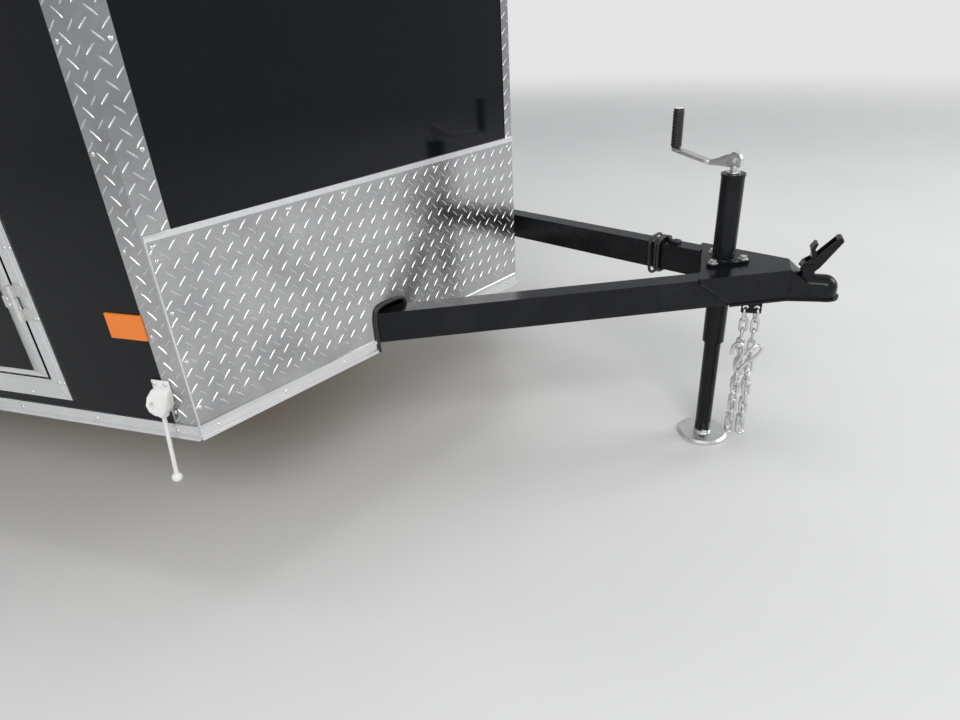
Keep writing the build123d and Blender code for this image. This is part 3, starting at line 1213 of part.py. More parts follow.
def make_cord():
    """The wiring cord: wound round the left tongue tube, plug tucked on top of the tube."""
    turn = -TONGUE_ANGLE
    middle_y = tongue_y(COIL_X) - TUBE_ACROSS / 2
    place = Pos(COIL_X, middle_y, FRAME_BOTTOM + RAIL_HEIGHT / 2) * Rot(0, 0, turn)
    # the turns bow out so that they only touch the tube's four corners
    corner = COIL_BEND - CORD / 2
    bow = corner * (1 - cos(radians(45))) + RUNNING_GAP
    hole = (RAIL_WIDTH + 2 * bow, RAIL_HEIGHT + 2 * bow)
    ring = RectangleRounded(hole[0] + 2 * CORD, hole[1] + 2 * CORD, corner + CORD)
    ring -= RectangleRounded(*hole, corner)
    coil = along_x(ring, -COIL_TURNS * CORD / 2, COIL_TURNS * CORD / 2)
    loose_way = Pos(-COIL_TURNS * CORD / 2 - CORD, 0, 0) * Rot(0, LOOSE_LEAN, 0)
    coil += loose_way * along_x(ring, -CORD / 2, CORD / 2)
    parts["cord_coil"] = place * coil
    start = COIL_TURNS * CORD / 2
    top = RAIL_HEIGHT / 2
    plug_y = (-PLUG_SIZE[1] / 2, PLUG_SIZE[1] / 2)
    plug = block((start, start + PLUG_SIZE[0]), plug_y, (top, top + PLUG_SIZE[2]))
    parts["cord_plug"] = place * plug
    outer = RAIL_WIDTH / 2
    gland_x = -start - GLAND_BEHIND
    gland = rod((gland_x, outer, 0), (gland_x, outer + GLAND_LENGTH, 0), CORD)
    parts["cord_gland"] = place * gland


make_frame()
make_shell()
make_springs()
make_axle()
make_wheels()
make_fenders()
make_trims()
hinge_parts = solids_of(make_side_door(), both(Compound(children=make_rear_doors())))
parts["fixed_hinges"] = hinge_parts
make_coupler()
make_chains()
make_jack()
make_fittings()
make_cord()

os.makedirs("parts", exist_ok=True)
for name, shape in parts.items():
    solids = shape if isinstance(shape, list) else list(shape.solids())
    moved = [SHIFT * solid for solid in solids]
    export_step(moved[0] if len(moved) == 1 else Compound(children=moved), f"parts/{name}.step")
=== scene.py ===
import json
from math import atan2, cos, hypot, pi, radians, sin, tan

import bpy
from mathutils import Matrix, Vector

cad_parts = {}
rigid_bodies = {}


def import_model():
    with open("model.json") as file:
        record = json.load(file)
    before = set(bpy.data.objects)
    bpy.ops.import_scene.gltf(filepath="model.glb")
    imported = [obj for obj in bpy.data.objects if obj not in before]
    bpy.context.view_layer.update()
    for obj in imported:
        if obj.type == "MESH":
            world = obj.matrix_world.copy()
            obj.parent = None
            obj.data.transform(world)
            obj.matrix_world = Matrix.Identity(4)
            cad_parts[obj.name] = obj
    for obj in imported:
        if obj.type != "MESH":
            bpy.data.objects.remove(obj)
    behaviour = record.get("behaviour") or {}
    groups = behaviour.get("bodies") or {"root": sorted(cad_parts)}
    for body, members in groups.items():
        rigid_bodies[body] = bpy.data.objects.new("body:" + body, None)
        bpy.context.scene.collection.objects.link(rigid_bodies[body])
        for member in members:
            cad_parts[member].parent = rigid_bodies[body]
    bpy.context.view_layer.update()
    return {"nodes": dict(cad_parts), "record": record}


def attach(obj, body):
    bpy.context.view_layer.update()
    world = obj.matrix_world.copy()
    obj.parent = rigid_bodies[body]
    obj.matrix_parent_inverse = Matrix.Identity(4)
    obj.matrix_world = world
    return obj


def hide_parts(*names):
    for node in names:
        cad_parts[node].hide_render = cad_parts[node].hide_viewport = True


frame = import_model()

# Places taken from the part's own sizes
SHIFT_X = 1.220
HALF_WIDTH = 0.9145
NOSE_DEPTH = 0.404
SKIN_BOTTOM = 0.444
FRAME_BOTTOM = 0.464
RAIL_HEIGHT = 0.0762
FRAME_TOP = FRAME_BOTTOM + RAIL_HEIGHT
WALL_TOP = 2.3882
STRIP_TOP = WALL_TOP - 0.022
GUARD_TOP = SKIN_BOTTOM + 0.4064
PLATE = 0.002
CORNER_STRIP = 0.0525
NOSE_STRIP = 0.026
BOTTOM_TRIM = 0.033
TOP_TRIM = 0.012
TONGUE_TURN = radians(25)
TONGUE_APEX = 1.2188 + SHIFT_X
TUBE_WIDTH = 0.0508
COUPLER_BEND = TONGUE_APEX - 0.0808
COUPLER_REAR = COUPLER_BEND - 0.218
SOCKET_CENTRE = 0.489
COUPLER_TOP = FRAME_TOP + 0.0053
JACK_X = COUPLER_REAR + 0.054
JACK_TOP = 0.775
AXLE_X = -2.100 + SHIFT_X
WHEEL_Y = 1.047
TYRE_RADIUS = 0.343
NOSE_LENGTH = hypot(NOSE_DEPTH, HALF_WIDTH)
NOSE_TURN = atan2(HALF_WIDTH, NOSE_DEPTH)


# Directions
UP = (0, 0, 1)
ACROSS = (0, 1, 0)


# Mesh helpers
def clear_selection():
    if bpy.context.object and bpy.context.object.mode != "OBJECT":
        bpy.ops.object.mode_set(mode="OBJECT")
    bpy.ops.object.select_all(action="DESELECT")


def hold(piece):
    """Makes a piece the only selected one."""
    clear_selection()
    piece.select_set(True)
    bpy.context.view_layer.objects.active = piece
    return piece


def named(name):
    piece = bpy.context.object
    piece.name = name
    piece.data.name = name
    return piece


def settle(piece):
    """Puts the piece's place into its mesh."""
    hold(piece)
    bpy.ops.object.transform_apply(location=True, rotation=True, scale=True)
    return piece


def new_box(name, low, high):
    """A box between two corners, to be worked on."""
    clear_selection()
    middle = [(a + b) / 2 for a, b in zip(low, high)]
    bpy.ops.mesh.primitive_cube_add(size=1, location=middle)
    piece = named(name)
    piece.scale = [b - a for a, b in zip(low, high)]
    return settle(piece)


def new_round(name, middle, radius, height, sides=32, way=UP):
    """An upright or tilted cylinder about its middle."""
    clear_selection()
    turn = Vector((0, 0, 1)).rotation_difference(Vector(way)).to_euler()
    bpy.ops.mesh.primitive_cylinder_add(
        vertices=sides, radius=radius, depth=height, location=middle, rotation=turn
    )
    return settle(named(name))


def finish_with(piece, kind, **settings):
    """Adds a modifier and applies it."""
    hold(piece)
    modifier = piece.modifiers.new("shape", kind)
    for key, value in settings.items():
        setattr(modifier, key, value)
    bpy.ops.object.modifier_apply(modifier=modifier.name)
    return piece


def bevelled(piece, width, segments=2):
    return finish_with(
        piece, "BEVEL", width=width, segments=segments, limit_method="ANGLE", angle_limit=radians(30)
    )


def soft_box(name, low, high, width, segments=2):
    """A box with bevelled edges."""
    return bevelled(new_box(name, low, high), width, segments)


def soft_round(name, middle, radius, height, width, sides=32, way=UP, segments=2):
    """A cylinder with bevelled edges."""
    return bevelled(new_round(name, middle, radius, height, sides, way), width, segments)


def repeated(piece, step, count):
    """A row of copies in one mesh, each a step further than the one before."""
    return finish_with(
        piece, "ARRAY", use_relative_offset=False, use_constant_offset=True,
        constant_offset_displace=step, count=count,
    )


def bored(piece, hole):
    """Cuts a hole's shape out of a piece."""
    finish_with(piece, "BOOLEAN", object=hole, operation="DIFFERENCE", solver="EXACT")
    bpy.data.objects.remove(hole)


def open_all(piece):
    """Opens a piece for editing with everything selected."""
    hold(piece)
    bpy.ops.object.mode_set(mode="EDIT")
    bpy.ops.mesh.select_all(action="SELECT")


def close_edit():
    bpy.ops.object.mode_set(mode="OBJECT")


def smooth(piece, angle=35):
    hold(piece)
    bpy.ops.object.shade_smooth_by_angle(angle=radians(angle))
    return piece


def copy_of(piece, name, moved=None):
    """A copy with its own mesh, moved by a matrix."""
    twin = piece.copy()
    twin.data = piece.data.copy()
    twin.name = name
    twin.data.name = name
    bpy.context.scene.collection.objects.link(twin)
    if moved is not None:
        move(twin, moved)
        if moved.determinant() < 0:
            twin.data.flip_normals()
    return twin


def spread(piece, name, places):
    """Copies of a piece, one at each place, instead of the piece itself."""
    copies = [copy_of(piece, name, place) for place in places]
    bpy.data.objects.remove(piece)
    return copies


def joined(pieces, name):
    clear_selection()
    for piece in pieces:
        piece.select_set(True)
    bpy.context.view_layer.objects.active = pieces[0]
    if len(pieces) > 1:
        bpy.ops.object.join()
    return named(name)


MIRROR = Matrix.Scale(-1, 4, ACROSS)


def at(x, y, z):
    return Matrix.Translation((x, y, z))


def turned(angle, axis):
    return Matrix.Rotation(angle, 4, axis)


FACE_RIGHT = turned(pi / 2, "X")
FACE_LEFT = turned(-pi / 2, "X")
FACE_REAR = turned(-pi / 2, "Y")


def move(piece, matrix):
    """Moves the points of a piece; its own place stays at the origin."""
    piece.data.transform(matrix)


def mirror(piece):
    """Moves a piece to the same place on the trailer's other side."""
    move(piece, MIRROR)
    piece.data.flip_normals()


def flank_place(side):
    """Takes a piece drawn on the right side to its own side."""
    return MIRROR if side > 0 else Matrix.Identity(4)


def nose_place(side):
    """Takes a piece drawn flat (x along the nose wall, y into the body, z up) to the wall."""
    return flank_place(side) @ at(SHIFT_X, -HALF_WIDTH, 0) @ turned(NOSE_TURN, "Z")


def new_object(name, data):
    made = bpy.data.objects.new(name, data)
    bpy.context.scene.collection.objects.link(made)
    return made


def round_curve(name, points, radius, roundness, smoothness):
    """A smooth line with a round section."""
    curve = bpy.data.curves.new(name, "CURVE")
    curve.dimensions = "3D"
    curve.bevel_depth = radius
    curve.bevel_resolution = roundness
    curve.resolution_u = smoothness
    curve.use_fill_caps = True
    line = curve.splines.new("NURBS")
    line.points.add(len(points) - 1)
    for held, point in zip(line.points, points):
        held.co = (*point, 1.0)
    line.order_u = 3
    line.use_endpoint_u = True
    return new_object(name, curve)


# Shader helpers
class Signal:
    """One socket of a shader, with arithmetic that adds the Math nodes."""

    def __init__(self, tree, socket):
        self.tree = tree
        self.socket = socket

    def _maths(self, operation, *others):
        node = self.tree.nodes.new("ShaderNodeMath")
        node.operation = operation
        for place, value in enumerate((self, *others)):
            connect(self.tree, node.inputs[place], value)
        return Signal(self.tree, node.outputs[0])

    def __add__(self, other):
        return self._maths("ADD", other)

    __radd__ = __add__

    def __mul__(self, other):
        return self._maths("MULTIPLY", other)

    __rmul__ = __mul__

    def sine(self):
        return self._maths("SINE")


def connect(tree, socket, value):
    if isinstance(value, Signal):
        tree.links.new(value.socket, socket)
    elif hasattr(socket, "default_value"):
        if socket.type == "RGBA" and len(value) == 3:
            value = (*value, 1.0)
        socket.default_value = value


class Finish:
    """A material whose nodes are added one by one."""

    def __init__(self, name):
        self.material = bpy.data.materials.new(name)
        self.material.use_nodes = True
        self.tree = self.material.node_tree
        self.shader = self.tree.nodes["Principled BSDF"]
        coordinates = self.tree.nodes.new("ShaderNodeTexCoord")
        self.place = Signal(self.tree, coordinates.outputs["Object"])

    def node(self, kind, settings=None, output=0, **inputs):
        made = self.tree.nodes.new("ShaderNode" + kind)
        for key, value in (settings or {}).items():
            setattr(made, key, value)
        for key, value in inputs.items():
            connect(self.tree, made.inputs[key.replace("_", " ")], value)
        return Signal(self.tree, made.outputs[output])

    def set(self, **inputs):
        for key, value in inputs.items():
            connect(self.tree, self.shader.inputs[key.replace("_", " ")], value)

    def noise(self, scale, detail=3.0, roughness=0.5, place=None):
        place = place or self.place
        return self.node("TexNoise", Vector=place, Scale=scale, Detail=detail, Roughness=roughness)

    def stretched(self, scale):
        """Coordinates stretched by a different amount on each axis."""
        return self.node("Mapping", Vector=self.place, Scale=scale)

    def axes(self):
        split = self.tree.nodes.new("ShaderNodeSeparateXYZ")
        connect(self.tree, split.inputs[0], self.place)
        return [Signal(self.tree, split.outputs[n]) for n in range(3)]

    def mix(self, factor, first, second):
        made = self.tree.nodes.new("ShaderNodeMix")
        made.data_type = "RGBA"
        connect(self.tree, made.inputs[0], factor)
        connect(self.tree, made.inputs[6], first)
        connect(self.tree, made.inputs[7], second)
        return Signal(self.tree, made.outputs[2])

    def ranged(self, value, low, high, to_low, to_high):
        return self.node(
            "MapRange", Value=value, From_Min=low, From_Max=high, To_Min=to_low, To_Max=to_high
        )

    def fade(self, value, low, high, first, second):
        """One colour that turns into another as the value rises from low to high."""
        return self.mix(self.ranged(value, low, high, 0.0, 1.0), first, second)

    def done(self, height, distance, strength):
        """Adds small relief and gives the finished material."""
        self.set(Normal=self.node("Bump", Height=height, Distance=distance, Strength=strength))
        return self.material


def cloudy(name, cloud, tones, colours, wear, gloss, relief, depth, **others):
    """A finish whose colour, gloss and relief follow noise. Cloud, wear and relief are noise settings;
    tones and gloss say which part of the noise gives which amount."""
    made = Finish(name)
    made.set(
        Base_Color=made.mix(made.ranged(made.noise(*cloud), *tones), *colours),
        Roughness=made.ranged(made.noise(*wear), *gloss),
        **others,
    )
    return made.done(made.noise(*relief), *depth)


def rubber(name, colour, bump_scale, gloss=(0.45, 0.65)):
    cloud = (bump_scale / 6, 5.0, 0.6)
    lighter = tuple(c * 2.4 + 0.012 for c in colour)
    return cloudy(
        name, cloud, (0.42, 0.8, 0.0, 0.7), (colour, lighter),
        cloud, (0.3, 0.7, *gloss), (bump_scale, 3.0), (0.0004, 0.35),
    )


def tread_plate():
    plate = Finish("tread_plate")
    stain = plate.noise(9.0, 6.0, 0.62)
    scratches = plate.noise(1.0, 4.0, 0.6, plate.stretched((900.0, 900.0, 30.0)))
    plate.set(
        Metallic=1.0,
        Base_Color=plate.fade(stain, 0.35, 0.7, (0.41, 0.41, 0.42), (0.53, 0.53, 0.53)),
        Roughness=plate.ranged(stain * 0.6 + scratches * 0.4, 0.35, 0.68, 0.11, 0.24),
    )
    return plate.done(plate.noise(70.0, 3.0) + scratches * 0.2, 0.0006, 0.35)


def bright_trim():
    trim = Finish("bright_trim")
    grain = trim.noise(1.0, 3.0, 0.5, trim.stretched((6.0, 6.0, 900.0)))
    trim.set(
        Metallic=1.0,
        Base_Color=trim.fade(trim.noise(12.0, 5.0), 0.3, 0.7, (0.80, 0.81, 0.82), (0.88, 0.88, 0.88)),
        Roughness=trim.ranged(grain, 0.3, 0.7, 0.26, 0.42),
    )
    return trim.done(grain, 0.0002, 0.3)


def zinc():
    plated = Finish("zinc")
    spangle = plated.node("TexVoronoi", Vector=plated.place, Scale=260.0)
    cloud = plated.noise(35.0, 5.0)
    plated.set(
        Metallic=1.0,
        Base_Color=plated.fade(cloud, 0.35, 0.7, (0.68, 0.69, 0.68), (0.80, 0.80, 0.77)),
        Roughness=plated.ranged(spangle * 0.5 + cloud * 0.5, 0.2, 0.6, 0.22, 0.4),
    )
    return plated.done(plated.noise(500.0, 2.0), 0.0002, 0.3)


def floor_board():
    wood = Finish("floor_board")
    grain = wood.noise(1.0, 8.0, 0.65, wood.stretched((3.0, 70.0, 70.0)))
    wood.set(
        Base_Color=wood.fade(grain, 0.3, 0.7, (0.42, 0.27, 0.14), (0.62, 0.46, 0.28)),
        Roughness=wood.ranged(grain, 0.3, 0.7, 0.55, 0.75),
    )
    return wood.done(grain, 0.0008, 0.5)


def lens(name, deep, bright, along):
    """A moulded lens with fine ribs inside it."""
    shell = Finish(name)
    axes = shell.axes()
    ribs = (axes[along] * 1400.0).sine() * 0.5 + 0.5
    cells = ribs * ((axes[2] * 1400.0).sine() * 0.5 + 0.5)
    shell.set(
        Base_Color=shell.mix(cells, deep, bright),
        Roughness=shell.ranged(cells, 0.0, 1.0, 0.16, 0.3),
        Coat_Weight=0.35,
        Coat_Roughness=0.05,
    )
    return shell.done(ribs, 0.0003, 0.3)


finishes = {
    "gloss_black_skin": cloudy(
        "gloss_black_skin", (38.0, 6.0, 0.7), (0.52, 0.85, 0.0, 0.3),
        ((0.0045, 0.005, 0.0065), (0.014, 0.014, 0.015)), (2.2, 5.0), (0.35, 0.7, 0.05, 0.11),
        (3.5, 2.0), (0.0012, 0.5), Specular_IOR_Level=0.22,
    ),
    "black_frame_paint": cloudy(
        "black_frame_paint", (14.0, 7.0, 0.68), (0.46, 0.8, 0.0, 0.5),
        ((0.0055, 0.006, 0.0075), (0.024, 0.024, 0.024)), (30.0, 4.0), (0.3, 0.75, 0.16, 0.3),
        (420.0, 2.0), (0.0003, 0.35), Specular_IOR_Level=0.22,
    ),
    "tread_plate": tread_plate(),
    # lugs are the same aluminium as the plate; their lighter colour is a painted highlight
    "tread_lugs_painted_highlight": cloudy(
        "tread_lugs_painted_highlight", (45.0, 4.0, 0.6), (0.35, 0.7, 0.0, 1.0),
        ((0.66, 0.66, 0.66), (0.78, 0.78, 0.77)), (45.0, 4.0, 0.6), (0.35, 0.7, 0.34, 0.5),
        (900.0, 2.0), (0.0002, 0.3), Metallic=1.0,
    ),
    "bright_trim": bright_trim(),
    "zinc": zinc(),
    "white_wheel_paint": cloudy(
        "white_wheel_paint", (18.0, 6.0, 0.7), (0.48, 0.8, 0.0, 0.55),
        ((0.62, 0.63, 0.64), (0.33, 0.31, 0.28)), (40.0,), (0.3, 0.7, 0.25, 0.4),
        (300.0, 2.0), (0.0003, 0.25),
    ),
    "floor_board": floor_board(),
    "tyre_rubber": rubber("tyre_rubber", (0.014, 0.014, 0.015), 240.0),
    "black_rubber": rubber("black_rubber", (0.011, 0.011, 0.011), 500.0, (0.35, 0.55)),
    "white_plastic": cloudy(
        "white_plastic", (24.0, 6.0, 0.7), (0.5, 0.8, 0.0, 0.35),
        ((0.78, 0.78, 0.75), (0.5, 0.48, 0.43)), (60.0,), (0.3, 0.7, 0.32, 0.46),
        (700.0, 2.0), (0.0002, 0.25), Subsurface_Weight=0.05,
    ),
    "amber_lens": lens("amber_lens", (0.78, 0.17, 0.002), (0.93, 0.27, 0.004), 0),
    "red_lens": lens("red_lens", (0.30, 0.006, 0.006), (0.62, 0.02, 0.015), 1),
    "roof_sheet": cloudy(
        "roof_sheet", (60.0, 4.0, 0.55), (0.35, 0.7, 0.0, 1.0),
        ((0.46, 0.47, 0.48), (0.55, 0.56, 0.57)), (60.0, 4.0, 0.55), (0.3, 0.7, 0.5, 0.62),
        (2.5, 2.0), (0.0015, 0.2), Metallic=0.7,
    ),
    "cord_black": rubber("cord_black", (0.012, 0.012, 0.013), 900.0, (0.3, 0.45)),
}


def dress(piece, name):
    """Gives a piece one finish."""
    piece.data.materials.clear()
    piece.data.materials.append(finishes[name])
    return piece


slots = {row["node"]: row["material_slot"] for row in frame["record"]["subparts"]}
for node, piece in frame["nodes"].items():
    if piece.data.materials:
        for place in range(len(piece.data.materials)):
            piece.data.materials[place] = finishes[slots[node]]
    else:
        piece.data.materials.append(finishes[slots[node]])


# Wiring cord: once loosely and then neatly round the left tongue tube, its plug on the tube's top
CORD = 0.0085
COIL_X = COUPLER_REAR - 0.108
RING_HALF = (0.0349, 0.0475)
RING_CORNER = 0.019
LOOSE_GROW = 0.0035
LOOSE_SAG = 0.006
NEAT_START = -0.0106
NEAT_PITCH = 0.0087
LOOSE_X = -0.0225
PLUG_START = 0.0235
PLUG_END = 0.05075
PLUG_HALF = 0.012


def tube_place():
    """Takes a place given along, outwards from and above the left tube's middle to the trailer."""
    across = TUBE_WIDTH / cos(TONGUE_TURN)
    middle_y = (TONGUE_APEX - COIL_X) * tan(TONGUE_TURN) - across / 2
    return at(COIL_X, middle_y, FRAME_BOTTOM + RAIL_HEIGHT / 2) @ turned(-TONGUE_TURN, "Z")


def ring_point(corner, step, grow):
    """A point on a rounded turn about the tube, four to each corner, from the outer side upwards."""
    angle = radians(90 * corner + 30 * step)
    middle_y = (RING_HALF[0] - RING_CORNER) * (1 if corner in (0, 3) else -1)
    middle_z = (RING_HALF[1] - RING_CORNER) * (1 if corner in (0, 1) else -1)
    reach = RING_CORNER + grow
    return middle_y + reach * cos(angle), middle_z + reach * sin(angle)


def cord_points():
    """Out of the gland, down, up into the loose turn, then the neat turns and along to the plug."""
    points = [
        (-0.05275, 0.0374, 0.0), (-0.05275, 0.050, 0.0), (-0.05275, 0.064, -0.001), (-0.050, 0.076, -0.010),
        (-0.045, 0.080, -0.028), (-0.038, 0.075, -0.045), (-0.031, 0.062, -0.054), (-0.026, 0.048, -0.049),
        (-0.023, 0.041, -0.034), (-0.022, 0.0385, -0.015),
    ]
    for corner in range(4):
        for step in range(4):
            y, z = ring_point(corner, step, LOOSE_GROW)
            sag = LOOSE_SAG if z < 0 else 0.0
            blend = max(0.0, (corner * 4 + step - 10) / 6)
            x = (LOOSE_X - 0.06 * z) * (1 - blend) + (NEAT_START - 0.001) * blend
            points.append((x, y, z - sag * (1 - blend)))
    for place in range(34):
        corner, step = place // 4 % 4, place % 4
        y, z = ring_point(corner, step, 0.0)
        points.append((NEAT_START + NEAT_PITCH * place / 16, y, z))
    points += [
        (0.0095, 0.020, 0.0485), (0.0125, 0.009, 0.0478), (0.018, 0.002, 0.0455), (0.0235, 0.0, 0.0435),
    ]
    return points


def make_cord():
    place = tube_place()
    points = [place @ Vector(point) for point in cord_points()]
    cord = round_curve("wiring_cord", points, CORD / 2, 3, 6)
    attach(dress(cord, "cord_black"), "trailer")
    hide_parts("cord_coil")

    # flat plug with its grip ribs and a tapering relief
    top = RAIL_HEIGHT / 2
    body_low = (PLUG_START + 0.005, -PLUG_HALF, top + 0.0002)
    relief_middle = (PLUG_START + 0.002, 0, top + 0.0047)
    pieces = [
        soft_box("plug_body", body_low, (PLUG_END, PLUG_HALF, top + 0.009), 0.0016, 3),
        soft_round("plug_relief", relief_middle, 0.0055, 0.012, 0.001, 16, (1, 0, 0)),
    ]
    side, low_z, high_z = PLUG_HALF + 0.0007, top + 0.0004, top + 0.0096
    for rib in range(4):
        low = PLUG_START + 0.009 + rib * 0.0032
        pieces.append(soft_box("rib", (low, -side, low_z), (low + 0.0014, side, high_z), 0.0005))
    plug = joined(pieces, "cord_plug_shape")
    move(plug, place)
    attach(dress(smooth(plug), "cord_black"), "trailer")
    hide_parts("cord_plug")


make_cord()


# Tread plate: raised lugs in alternate directions, cut at the plate's edges
LUG_LENGTH = 0.0255
LUG_WIDTH = 0.0036
LUG_HEIGHT = 0.0012
LUG_PITCH = 0.0175
ARCH_GAP = 0.009
ARCH_RISE = 0.022
ARCH_CLEAR = 0.115


def lug_tile():
    """Two crossing lugs of the repeated pattern, standing on a plate whose face looks along -Y."""
    lug = new_round("lug", (0, 0, 0), 1.0, 1.0, sides=8)
    lug.scale = (LUG_LENGTH / 2, LUG_WIDTH / 2, LUG_HEIGHT)
    settle(lug)
    open_all(lug)
    bpy.ops.mesh.select_all(action="DESELECT")
    close_edit()
    for face in lug.data.polygons:
        face.select = face.normal.z > 0.9
    bpy.ops.object.mode_set(mode="EDIT")
    bpy.ops.transform.resize(value=(0.74, 0.4, 1))
    close_edit()
    places = []
    for step, lean in ((0.5, 45), (1.5, -45)):
        middle = at(step * LUG_PITCH, step * LUG_PITCH, LUG_HEIGHT * 0.45)
        places.append(middle @ turned(radians(lean), "Z"))
    tile = joined(spread(lug, "lug_copy", places), "lug_tile")
    move(tile, FACE_RIGHT)
    return tile


def cut_flat(piece, point, outward):
    """Cuts away what lies beyond a plane and closes the cut."""
    open_all(piece)
    bpy.ops.mesh.bisect(plane_co=point, plane_no=outward, use_fill=True, clear_outer=True)
    close_edit()


def lug_sheet(name, length, height, skipped=None):
    """Lugs over a plate that runs from the origin along X and up Z. Lugs in the skipped area
    are left out."""
    sheet = copy_of(tile, name)
    step = LUG_PITCH * 2
    repeated(sheet, (step, 0, 0), int(length / step) + 1)
    repeated(sheet, (0, 0, step), int(height / step) + 1)
    edge = 0.0015
    cut_flat(sheet, (length - edge, 0, 0), (1, 0, 0))
    cut_flat(sheet, (edge, 0, 0), (-1, 0, 0))
    cut_flat(sheet, (0, 0, height - edge), (0, 0, 1))
    cut_flat(sheet, (0, 0, edge), (0, 0, -1))
    if skipped:
        left, right, top = skipped
        hold(sheet)
        for vertex in sheet.data.vertices:
            spot = vertex.co
            vertex.select = left < spot.x < right and spot.z < top
        bpy.ops.object.mode_set(mode="EDIT")
        bpy.ops.mesh.select_mode(type="VERT")
        bpy.ops.mesh.select_linked()
        bpy.ops.mesh.delete(type="VERT")
        close_edit()
    return smooth(sheet, 30)


def cutout_span():
    """Where the tongue tube's arch starts and ends along the nose wall."""

    def meets(aside):
        apex = TONGUE_APEX - SHIFT_X + aside / sin(TONGUE_TURN)
        slope = tan(TONGUE_TURN)
        return (HALF_WIDTH - apex * slope) / (sin(NOSE_TURN) - cos(NOSE_TURN) * slope)

    return meets(ARCH_GAP), meets(-TUBE_WIDTH - ARCH_GAP)


def make_tread_plate():
    low = SKIN_BOTTOM + BOTTOM_TRIM
    arch_start, arch_end = cutout_span()
    arch = (arch_start - 0.008, arch_end, ARCH_CLEAR - BOTTOM_TRIM)
    guard = lug_sheet("guard_lugs_right", NOSE_LENGTH - 0.004, GUARD_TOP - low, arch)
    strip = lug_sheet("strip_lugs", CORNER_STRIP, STRIP_TOP - low)
    short = lug_sheet("short_lugs", CORNER_STRIP, STRIP_TOP - GUARD_TOP - TOP_TRIM)
    tip = lug_sheet("tip_lugs", NOSE_STRIP, STRIP_TOP - GUARD_TOP - TOP_TRIM)
    sheets = []
    for side, word in ((-1, "right"), (1, "left")):
        place = nose_place(side) @ at(0.004, -PLATE, low)
        sheets.append(copy_of(guard, "guard_lugs_" + word + "_plate", place))
        legs = [copy_of(short, "leg", nose_place(side) @ at(0, -PLATE, GUARD_TOP + TOP_TRIM))]
        flank = at(SHIFT_X - CORNER_STRIP, -HALF_WIDTH - PLATE, low)
        legs.append(copy_of(strip, "leg", flank_place(side) @ flank))
        sheets.append(joined(legs, "corner_lugs_" + word))
        place = nose_place(side) @ at(NOSE_LENGTH - NOSE_STRIP, -PLATE, GUARD_TOP + TOP_TRIM)
        sheets.append(copy_of(tip, "tip_lugs_" + word, place))
    for piece in (guard, strip, short, tip):
        bpy.data.objects.remove(piece)
    for piece in sheets:
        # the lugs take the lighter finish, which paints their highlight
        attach(dress(piece, "tread_lugs_painted_highlight"), "trailer")


# Screws: low domes with a rounded edge
def dome(name, radius, height, sides=12):
    """A low round screw head that stands on the XY plane."""
    clear_selection()
    bpy.ops.mesh.primitive_uv_sphere_add(segments=sides, ring_count=8, radius=radius)
    head = named(name)
    head.scale = (1, 1, height / radius)
    settle(head)
    cut_flat(head, (0, 0, -height * 0.15), (0, 0, -1))
    return smooth(head, 50)


def screws(name, finish, body, places, radius=0.0045, height=0.0024):
    """Screw heads at places drawn on the right side, where they look along -Y."""
    head = dome("screw_head", radius, height)
    copies = spread(head, "screw", [place @ FACE_RIGHT for place in places])
    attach(dress(joined(copies, name), finish), body)


STRIP_SCREW_IN = 0.009
STRIP_SCREW_PITCH = 0.165
GUARD_SCREW_IN = 0.014
RAIL_SCREWS = 18


def rail_places(behind, pitch, out, z, alongs):
    """Screw places at one height: rows along both flanks, and singly along both nose walls."""
    places = []
    for side in (-1, 1):
        for place in range(RAIL_SCREWS):
            spot = at(SHIFT_X - behind - place * pitch, -HALF_WIDTH - out, z)
            places.append(flank_place(side) @ spot)
        for along in alongs:
            places.append(nose_place(side) @ at(along, -out, z))
    return places


def make_wall_screws():
    # foot rails: in the groove between the ribs
    alongs = (0.04, 0.2, 0.36, 0.66, 0.82, 0.96)
    places = rail_places(0.05, 0.205, 0.004, SKIN_BOTTOM + 0.0165, alongs)
    for side in (-1, 1):
        # corner strips, both legs
        for row in range(12):
            z = SKIN_BOTTOM + 0.06 + row * STRIP_SCREW_PITCH
            x = SHIFT_X - CORNER_STRIP + STRIP_SCREW_IN
            places.append(flank_place(side) @ at(x, -HALF_WIDTH - PLATE, z))
            if z > GUARD_TOP:
                places.append(nose_place(side) @ at(CORNER_STRIP - STRIP_SCREW_IN, -PLATE, z))
        # stone guard: below its cap and up its rear edge
        for place in range(8):
            along = GUARD_SCREW_IN + place * (NOSE_LENGTH - 0.034) / 7
            places.append(nose_place(side) @ at(along, -PLATE, GUARD_TOP - 0.011))
        for place in range(4):
            z = SKIN_BOTTOM + 0.07 + place * 0.1
            places.append(nose_place(side) @ at(GUARD_SCREW_IN, -PLATE, z))
    screws("trim_screws", "zinc", "trailer", places)


tile = lug_tile()
make_tread_plate()
bpy.data.objects.remove(tile)
make_wall_screws()


# Shapes made from an outline or a bent rod
def plate_of(name, outline, thickness):
    """A flat plate: an outline drawn on the XY plane and pushed up by its thickness."""
    clear_selection()
    bpy.ops.mesh.primitive_circle_add(vertices=len(outline), fill_type="NGON")
    piece = named(name)
    for vertex, (x, y) in zip(piece.data.vertices, outline):
        vertex.co = (x, y, 0)
    open_all(piece)
    bpy.ops.mesh.extrude_region_move(TRANSFORM_OT_translate={"value": (0, 0, thickness)})
    bpy.ops.mesh.select_all(action="SELECT")
    bpy.ops.mesh.normals_make_consistent(inside=False)
    close_edit()
    return piece


def tidy_mesh(piece):
    """Joins doubled points and turns every face outwards."""
    open_all(piece)
    bpy.ops.mesh.remove_doubles(threshold=0.00001)
    bpy.ops.mesh.normals_make_consistent(inside=False)
    close_edit()
    return piece


